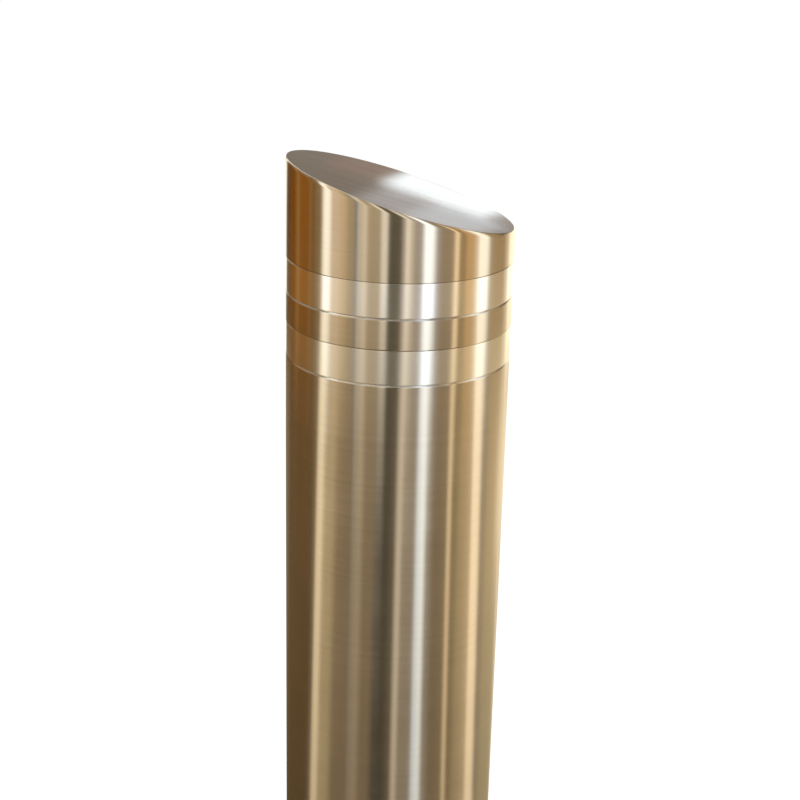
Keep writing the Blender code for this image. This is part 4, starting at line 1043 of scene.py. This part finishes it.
def build_bar(number, degrees):
    """A ribbed bar, welded up the barrel and bent outwards."""
    node = f"anchor_bar_{number}"
    low = span(node)[0]
    start = barrel_radius + GAP + BAR_RADIUS
    slant, upright = math.radians(45), math.radians(90)
    reach = max(abs(corner.x) for corner in box(node))
    reach = (reach - BAR_RADIUS * math.sin(slant)) / math.cos(slant)
    step, level = RIB_SPACING / RIB_STEPS, low + BAR_LEG + BAR_BEND
    route = [(start, low + step * i, 0.0) for i in range(int(BAR_LEG / RIB_SPACING * RIB_STEPS))]
    for i in range(BEND_STEPS + 1):
        turn = upright * i / BEND_STEPS
        route.append((start + BAR_BEND * (1 - math.cos(turn)), low + BAR_LEG + BAR_BEND * math.sin(turn), turn))
    distance = start + BAR_BEND + step
    while distance < reach:
        route.append((distance, level, upright))
        distance += step
    route.append((reach, level, upright))
    bm = bmesh.new()
    verts = bmesh.ops.create_circle(bm, cap_ends=False, radius=1, segments=BAR_FACETS)["verts"]
    ring, shapes = list(bm.edges), [vert.co.copy() for vert in verts]
    spread = turned(degrees)
    for along, (distance, height, lean) in enumerate(route):
        radius = BAR_RADIUS - (RIB_HEIGHT if along % RIB_STEPS in (0, RIB_STEPS - 1) else 0)
        here = spread @ Matrix.Translation((distance, 0, height)) @ Matrix.Rotation(lean, 4, "Y")
        if along:
            verts, ring = extruded(bm, ring)
        for vert, shape in zip(verts, shapes):
            vert.co = here @ (shape * radius)
    bmesh.ops.holes_fill(bm, edges=[edge for edge in bm.edges if edge.is_boundary], sides=0)
    place_piece(f"ribbed_bar_{number}", closed(bm), node)
    for side, way in (("left", -1), ("right", 1)):
        foot = spread @ Vector((start - BAR_WELD_INWARD, way * BAR_WELD_AWAY, low + BAR_WELD_FOOT))
        points = [(foot.x, foot.y, foot.z + BEAD_STEP * i) for i in range(int(BAR_WELD_LENGTH / BEAD_STEP))]
        weld_bead(f"bar_weld_{number}_{side}", points, BAR_WELD_SHARE * WELD, cyclic=False)


def build_casing():
    """The barrel with its pipe stubs, its flange and base plate with their welds, and the anchor bars."""
    cutters = []
    for name, node, degrees, side in (("conduit_pipe", "conduit_stub", 90, 0), ("drain_pipe", "drain_stub", 0, 1)):
        low, high = box(node)
        cutters.append(build_pipe(name, node, degrees, (high[side] - low[side]) / 2, (high.z + low.z) / 2))
    barrel = lathe(tube(barrel_radius - CASING_WALL, barrel_radius, *span("casing_barrel")))
    place_piece("rolled_barrel", carved(barrel, *cutters), "casing_barrel")

    low, high = span("casing_top_flange")
    flange = disc("casing_top_flange", PLATE_EDGE, (barrel_radius + GAP, SOFT_EDGE, FINE))
    floor = low + TAPPED_FLOOR
    tapped = thread(loose(COVER_SCREW) + 0.9, COVER_SCREW[1], floor + 0.3, high - 0.8)
    tapped = [(loose(COVER_SCREW), floor), *tapped, (COVER_SCREW[0] + 1, high)]
    blind = [(tapped[::-1], SMALL, *middles("cover_screw"))]
    place_piece("slip_on_flange", drilled(flange, upper=blind), "casing_top_flange")
    weld_round("flange_weld", low - WELD_BELOW_FLANGE)

    low, high = span("casing_base_plate")
    bm = bmesh.new()
    bmesh.ops.create_grid(bm, x_segments=1, y_segments=1, size=half_width("casing_base_plate"))
    bevelled(bm, list(bm.verts), BASE_CORNER, BASE_CORNER_STEPS)
    place_piece("cut_base_plate", slab(bm, (0, 0, high - low), PLATE_EDGE, EDGE_STEPS), "casing_base_plate")
    weld_round("base_weld", high + WELD_ABOVE_BASE)
    for number in range(1, 5):
        build_bar(number, 90 * number - 45)


# ---------------------------------------- guide rods, core plate and sensors

GRUB_RADIUS, GRUB_FLATS, GRUB_DEPTH, GRUB_SUNK = 3, 3, 2, 1
ROD_CHAMFER, COLLAR_CHAMFER, COLLAR_EDGE = 0.8, 1, 0.2
RAM_STUD = 12, 3
DRAIN_HOLES, DRAIN_HOLE_RADIUS, DRAIN_CIRCLE = 6, 11, 57.5
RAIL_ANGLE, RAIL_OUTER, RAIL_TIP = 210, 122, 104
RAIL_WIDTH, RAIL_THICKNESS = 22, 4
RAIL_BENDS, RAIL_BEND_STEPS = (5.5, 1.5), 8  # outside and inside
SENSOR, SENSOR_FACE, SENSOR_TAIL = (6, 1), 103, 129.5
SENSOR_NOSE, SENSOR_NOSE_RADIUS, SENSOR_END, SENSOR_END_RADIUS = 3, 5.5, 2, 4.6
SENSOR_NUT_FLATS, SENSOR_NUT_HEIGHT = 15.6, 4


def build_guides():
    """Ground guide rods, their lock nuts, and the collars that stop the foot flange."""
    low, high = span("guide_rod_1")
    shoulder, cover = span("core_bottom_plate")[1] + GAP, span("cover_flange")[0] - GAP
    shaft = collar(0, ROD_RADIUS, shoulder, cover, ROD_CHAMFER)[1:-1]
    rod = stud(*GUIDE_STUD, low, shoulder) + shaft + stud(*GUIDE_STUD, cover, high)
    place_each("ground_rod", lathe([(0, low), *rod, (0, high)], MEDIUM, 0), "guide_rod")
    nut = nut_mesh(ROD_NUT_FLATS, *GUIDE_STUD, *span("rod_nut_1"))
    place_each("lock_nut", moved(nut, turned(30)), "rod_nut")

    low, high = span("stop_collar_1")
    outer = half_width("stop_collar_1")
    face = outer - GRUB_SUNK
    recess = solid([(GRUB_RADIUS, outer + GRUB_SUNK), (GRUB_RADIUS, face)])
    socket = solid([hexagonal(GRUB_FLATS, outer), hexagonal(GRUB_FLATS, face - GRUB_DEPTH)])
    ring = lathe(collar(ROD_RADIUS + GAP, outer, low, high, COLLAR_CHAMFER), MEDIUM, COLLAR_EDGE)
    cutters = [moved(tool, radial(0, (low + high) / 2)) for tool in (recess, socket)]
    place_each("clamp_collar", carved(ring, *cutters), "stop_collar")


def build_core_plate():
    """The plate that carries the guide rods and the ram, with drain holes, and the buffers on it."""
    rods = (loose(GUIDE_STUD), SOFT_EDGE, SMALL, *middles("guide_rod"))
    drains = (DRAIN_HOLE_RADIUS, PLATE_EDGE, SMALL, *circle_of(DRAIN_HOLES, DRAIN_CIRCLE))
    plate = disc("core_bottom_plate", PLATE_EDGE, (loose(RAM_STUD), SOFT_EDGE, MEDIUM), rods, drains)
    place_piece("core_plate", drilled(plate), "core_bottom_plate")

    low, high = span("bottom_buffer_1")
    outer = half_width("bottom_buffer_1")
    waist = outer - 1.2
    buffer = [(0, low), (outer, low), (outer, low + 3), (waist, low + 5), (waist, high - 5)]
    buffer += [(outer - 0.4, high - 3), (outer - 3, high), (4, high), (3, high - 2)]
    place_each("rubber_buffer", lathe([*buffer, (0, high - 2)], MEDIUM, 0.6), "bottom_buffer")


def build_sensors():
    """The folded rail and, at each end of the travel, a threaded sensor between its two nuts."""
    low, high = span("sensor_rail")
    inner, tab = RAIL_OUTER - RAIL_THICKNESS, RAIL_THICKNESS
    bm = bmesh.new()
    outline_face(bm, tube(RAIL_TIP, RAIL_OUTER, low, high) + tube(RAIL_TIP, inner, low + tab, high - tab)[::-1])
    for radius, bend in zip((RAIL_OUTER, inner), RAIL_BENDS):
        bevelled(bm, [vert for vert in bm.verts if abs(vert.co.x - radius) < TINY], bend, RAIL_BEND_STEPS)
    bmesh.ops.translate(bm, verts=bm.verts, vec=(0, -RAIL_WIDTH / 2, 0))
    rail = moved(slab(bm, (0, RAIL_WIDTH, 0), 0.3, 2), turned(RAIL_ANGLE))

    nose, end = SENSOR_FACE + SENSOR_NOSE, SENSOR_TAIL - SENSOR_END
    tip = SENSOR_NOSE_RADIUS - SOFT_EDGE
    body = [(0, SENSOR_FACE), (tip, SENSOR_FACE), (SENSOR_NOSE_RADIUS, SENSOR_FACE + 0.4), (SENSOR_NOSE_RADIUS, nose)]
    body += [*stud(*SENSOR, nose, end), (tip, end), (SENSOR_END_RADIUS, SENSOR_TAIL), (0, SENSOR_TAIL)]
    barrel = painted(lathe(body, SMALL, 0), lambda face: not nose < face.center.z - TINY < end)
    bm = bmesh.new()
    bm.from_mesh(barrel)
    for start in (inner - GAP - SENSOR_NUT_HEIGHT, RAIL_OUTER + GAP):
        heights = start, start + SENSOR_NUT_HEIGHT
        bm.from_mesh(nut_mesh(SENSOR_NUT_FLATS, *SENSOR, *heights))
    sensor = mesh_from(bm)
    for look in ("zinc", "sensor_plastic"):
        sensor.materials.append(materials[look])
    holes = []
    for name in ("upper", "lower"):
        node = name + "_end_sensor"
        place = radial(RAIL_ANGLE, sum(span(node)) / 2)
        opening = solid([(loose(SENSOR), RAIL_TIP + 5), (loose(SENSOR), SENSOR_TAIL)])
        holes.append(moved(opening, place))
        place_piece(name + "_sensor", moved(sensor, place), node)
    place_piece("folded_rail", carved(rail, *holes), "sensor_rail")


# ---------------------------------------- ram

RAM_NUT_FLATS = 36
RAM_OUTER, RAM_SOCKET, RAM_TUBE_RADIUS, RAM_BORE = 30, 25.3, 25, 20
RAM_FLOOR, RAM_CEILING, RAM_COLLAR = 115.3, 834.6, 4
PORT_ANGLE, PORT, PORT_BORE = 60, (6, 1.5), 3
PORT_HEX_FLATS, PORT_HEX_LENGTH = 19, 11
PORT_START, PORT_END = 22, 62.3
SHAFT_RADIUS = 14
SPIGOT, PISTON_NUT_FLATS = (8, 2), 24
ROD_END, ROD_END_FLATS = (10, 2.5), 30
SEAL_DEPTH = 2.5


def build_port(height):
    """The oil port's fitting: a nipple with a hexagon, and a threaded end."""
    shoulder = RAM_OUTER + GAP
    hex_end = shoulder + PORT_HEX_LENGTH
    neck = hex_end + 2
    outside = [(PORT[0] - 0.5, PORT_START), (PORT[0], PORT_START + 0.5), (PORT[0], shoulder)]
    outside += hexagon(PORT_HEX_FLATS, shoulder, hex_end)[::-1] + [(PORT[0], hex_end), (PORT[0], neck)]
    outside += stud(*PORT, neck, PORT_END)
    way = [(PORT_BORE + 1, PORT_END), (PORT_BORE, PORT_END - 1), (PORT_BORE, PORT_START + 3)]
    fitting = drilled([(outside[::-1], SMALL)], upper=[(way, SMALL)])
    place_piece("port_fitting", moved(fitting, radial(PORT_ANGLE, height)), "hydraulic_port")


def build_ram():
    """The ram's base with its port, stud and nut, its honed tube, and its head."""
    low, high = span("ram_base")
    foot = span("core_bottom_plate")[1] + GAP
    base = [(0, low), *stud(*RAM_STUD, low, foot)]
    base += collar(0, RAM_OUTER, foot, high, 1)[1:-1]
    base += [(RAM_SOCKET + 0.7, high), (RAM_SOCKET, high - 0.7), (RAM_SOCKET, RAM_FLOOR), (0, RAM_FLOOR)]
    height = sum(span("hydraulic_port")) / 2
    drill = solid([(loose(PORT), PORT_START - GAP), (loose(PORT), 2 * RAM_OUTER)], MEDIUM)
    place_piece("ram_foot", carved(lathe(base, MEDIUM, 0), moved(drill, radial(PORT_ANGLE, height))), "ram_base")
    build_port(height)
    place_nut("ram_nut", "ram_base_nut", RAM_NUT_FLATS, *RAM_STUD)
    place_piece("honed_tube", lathe(tube(RAM_BORE, RAM_TUBE_RADIUS, *span("ram_tube")), MEDIUM, 0.5), "ram_tube")

    low, high = span("ram_head")
    bore, step = SHAFT_RADIUS + GAP, high - RAM_COLLAR
    head = [(bore, RAM_CEILING), (RAM_SOCKET, RAM_CEILING), (RAM_SOCKET, low)]
    head += collar(0, RAM_OUTER, low, step, 1)[1:-1] + [(RAM_TUBE_RADIUS, step), (RAM_TUBE_RADIUS, high)]
    head += [(bore + 2, high), (bore, high - 2)]
    place_piece("ram_gland", lathe(head, MEDIUM, 0.2), "ram_head")


def build_rod():
    """The chromed rod, its end nut, and its piston with seals and nut."""
    low, high = span("piston_rod")
    step, shoulder = span("piston")[1] + GAP, span("crosshead_plate")[0] - GAP
    threaded = span("piston_nut")[1]
    rod = stud(*SPIGOT, low, threaded) + [(SPIGOT[0], threaded), (SPIGOT[0], step)]
    rod += collar(0, SHAFT_RADIUS, step, shoulder, 1)[1:-1]
    rod += stud(*ROD_END, shoulder, high)
    place_piece("chromed_rod", lathe([(0, low), *rod, (0, high)], MEDIUM, 0), "piston_rod")
    place_nut("crosshead_nut", "rod_end_nut", ROD_END_FLATS, *ROD_END)
    place_nut("piston_lock_nut", "piston_nut", PISTON_NUT_FLATS, *SPIGOT)

    low, high = span("piston")
    bore, skirt = loose(SPIGOT), half_width("piston")
    floor = skirt - SEAL_DEPTH
    piston = [(bore, low), (skirt - 1, low), (skirt, low + 1)]
    for number in (1, 2):
        node = f"piston_seal_{number}"
        bottom, top = span(node)
        piston += [(skirt, bottom - GAP), (floor, bottom - GAP), (floor, top + GAP), (skirt, top + GAP)]
        waist = (bottom + top) / 2
        seal = [(floor + GAP, bottom), (skirt - 0.5, bottom), (skirt, bottom + 0.8)]
        seal += [(skirt, waist - 0.5), (skirt - 0.6, waist), (skirt, waist + 0.5)]
        seal += [(skirt, top - 0.8), (skirt - 0.5, top), (floor + GAP, top)]
        place_piece(f"lip_seal_{number}", lathe(seal, MEDIUM, 0.1), node)
    piston += [(skirt, high - 1), (skirt - 1, high), (bore, high)]
    place_piece("grooved_piston", lathe(piston, MEDIUM, 0.1), "piston")


# ---------------------------------------- the post's ends and its guide

LIFT_SCREW, LIFT_SCREW_CIRCLE = (4, 1.25), 71.2
LIFT_HEAD_RADIUS, LIFT_SOCKET_DEPTH = 6.5, 4
LIGHTENING_CIRCLE, LIGHTENING_RADIUS, LIGHTENING_EDGE = 38.85, 16, 0.8
SPIGOT_RING_INNER = 63.7
FOOT_RADIUS, FOOT_INNER, FOOT_TOP = 100, 70, 720.6
EAR_RADIUS, EAR_CIRCLE, EAR_FILLET = 18, 109, 10
BUSH_RADIUS, BUSH_LIP_RADIUS, BUSH_EDGE = 12, 15, 0.8
HOUSING_INNER, HOUSING_LIP_INNER, HOUSING_LIP = 91.7, 86, 5


def build_crosshead():
    """The plate that the rod lifts, its screws, and the ring that joins the tube and the cap."""
    screws, bore = circle_of(3, LIFT_SCREW_CIRCLE), loose(LIFT_SCREW)
    low, high = span("crosshead_plate")
    bores = (loose(ROD_END), SOFT_EDGE, MEDIUM), (bore, SOFT_EDGE, SMALL, *screws)
    lightening = (LIGHTENING_RADIUS, LIGHTENING_EDGE, MEDIUM, *circle_of(3, LIGHTENING_CIRCLE, 60))
    plate = disc("crosshead_plate", PLATE_EDGE, *bores, lightening)
    place_piece("lifting_plate", drilled(plate), "crosshead_plate")

    screw_low, screw_high = span("crosshead_screw_1")
    bearing, edge = low - GAP, 0.8
    screw = [(LIFT_HEAD_RADIUS - edge, screw_low), (LIFT_HEAD_RADIUS, screw_low + edge)]
    screw += [(LIFT_HEAD_RADIUS, bearing), (LIFT_SCREW[0], bearing), (LIFT_SCREW[0], high)]
    screw += stud(*LIFT_SCREW, high, screw_high)
    socket = key_socket(screw_low, LIFT_SOCKET_DEPTH, 1)
    place_each("socket_screw", drilled([(screw[::-1], SMALL)], lower=[(socket, SMALL)]), "crosshead_screw")

    low = span("cap_spigot_ring")[0]
    ring = disc("cap_spigot_ring", 1, (SPIGOT_RING_INNER, 0.5, FINE))
    tapped = [(bore + 0.5, low), (bore, low + 0.5), (bore, screw_high + GAP), (1, screw_high + 2)]
    place_piece("spigot_ring", drilled(ring, lower=[(tapped, SMALL, *screws)]), "cap_spigot_ring")


def eared(height, inset=0.0):
    """The foot ring's shape: a circle with a filleted ear around each guide rod."""
    ears = [math.atan2(y, x) for x, y in middles("guide_rod")]
    ring, ear, fillet = FOOT_RADIUS - inset, EAR_RADIUS - inset, EAR_FILLET + inset
    far = ring + fillet
    from_ear = math.acos((far**2 + EAR_CIRCLE**2 - (ear + fillet) ** 2) / (2 * EAR_CIRCLE * far))
    centre = Vector((math.cos(from_ear), math.sin(from_ear))) * far  # of the fillet
    end = (centre + (Vector((EAR_CIRCLE, 0)) - centre).normalized() * fillet).angle(Vector((1, 0)))

    def shape(angle):
        turn = min(abs(math.remainder(angle - place, 2 * math.pi)) for place in ears)
        if turn >= from_ear:
            return ring, height
        if turn <= end:
            return EAR_CIRCLE * math.cos(turn) + math.sqrt(ear**2 - (EAR_CIRCLE * math.sin(turn)) ** 2), height
        away = far * math.sin(from_ear - turn)
        return far * math.cos(from_ear - turn) - math.sqrt(max(0.0, fillet**2 - away**2)), height

    return shape


def build_foot():
    """The eared ring under the tube, and its bronze bushes on the guide rods."""
    low, high = span("foot_flange")
    edge, spigot = PLATE_EDGE, half_width("crosshead_plate")
    ears = [eared(FOOT_TOP, edge), eared(FOOT_TOP - edge), eared(low + edge), eared(low, edge)]
    ring = [(spigot, FOOT_TOP), (spigot, high - edge), (spigot - edge, high)] + hole(FOOT_INNER, low, high, edge)
    bores = (hole(BUSH_RADIUS + GAP, low, FOOT_TOP), SMALL, *middles("guide_rod"))
    place_piece("eared_ring", drilled([(ears, 2 * FINE), (ring, FINE), bores]), "foot_flange")

    low, high = span("foot_bush_1")
    bore, seat, lip = ROD_RADIUS + GAP, FOOT_TOP + GAP, BUSH_LIP_RADIUS
    bush = [(bore + BUSH_EDGE, low), (BUSH_RADIUS - BUSH_EDGE, low), (BUSH_RADIUS, low + BUSH_EDGE)]
    bush += [(BUSH_RADIUS, seat), (lip, seat), (lip, high - 0.5), (lip - 0.5, high)]
    bush += [(bore + BUSH_EDGE, high), (bore, high - BUSH_EDGE), (bore, low + BUSH_EDGE)]
    place_each("bronze_bush", lathe(bush, MEDIUM, 0.1), "foot_bush")


def build_upper_guide():
    """The housing under the cover, and the nylon bush in which the post slides."""
    low, high = span("bush_housing")
    housing = [(HOUSING_LIP_INNER, low), *tube(HOUSING_INNER, half_width("bush_housing"), low, high)[1:]]
    housing += [(HOUSING_INNER, low + HOUSING_LIP), (HOUSING_LIP_INNER, low + HOUSING_LIP)]
    place_piece("guide_housing", lathe(housing, soften=0.5), "bush_housing")
    low, high = span("post_guide_bush")
    inner, funnel = post_radius + 0.4, post_radius + 1.9
    bush = collar(funnel, half_width("post_guide_bush"), low, high, BUSH_EDGE) + [(inner, high - 3)]
    for share in (0.7, 0.3):
        groove, floor = low + share * (high - low), inner + 1.2
        bush += [(inner, groove + 2.5), (floor, groove + 1.5)]
        bush += [(floor, groove - 1.5), (inner, groove - 2.5)]
    place_piece("nylon_guide", lathe([*bush, (inner, low + 3)], soften=0.1), "post_guide_bush")


# ---------------------------------------- making everything

build_camera()
build_tent()
build_floor()
build_world()
for name, (place, power) in LAMPS.items():
    build_lamp(name, place, power)
for build in (
    build_cap, build_sleeve, build_cover, build_casing, build_guides, build_core_plate, build_sensors, build_ram,
    build_rod, build_crosshead, build_foot, build_upper_guide,
):
    build()
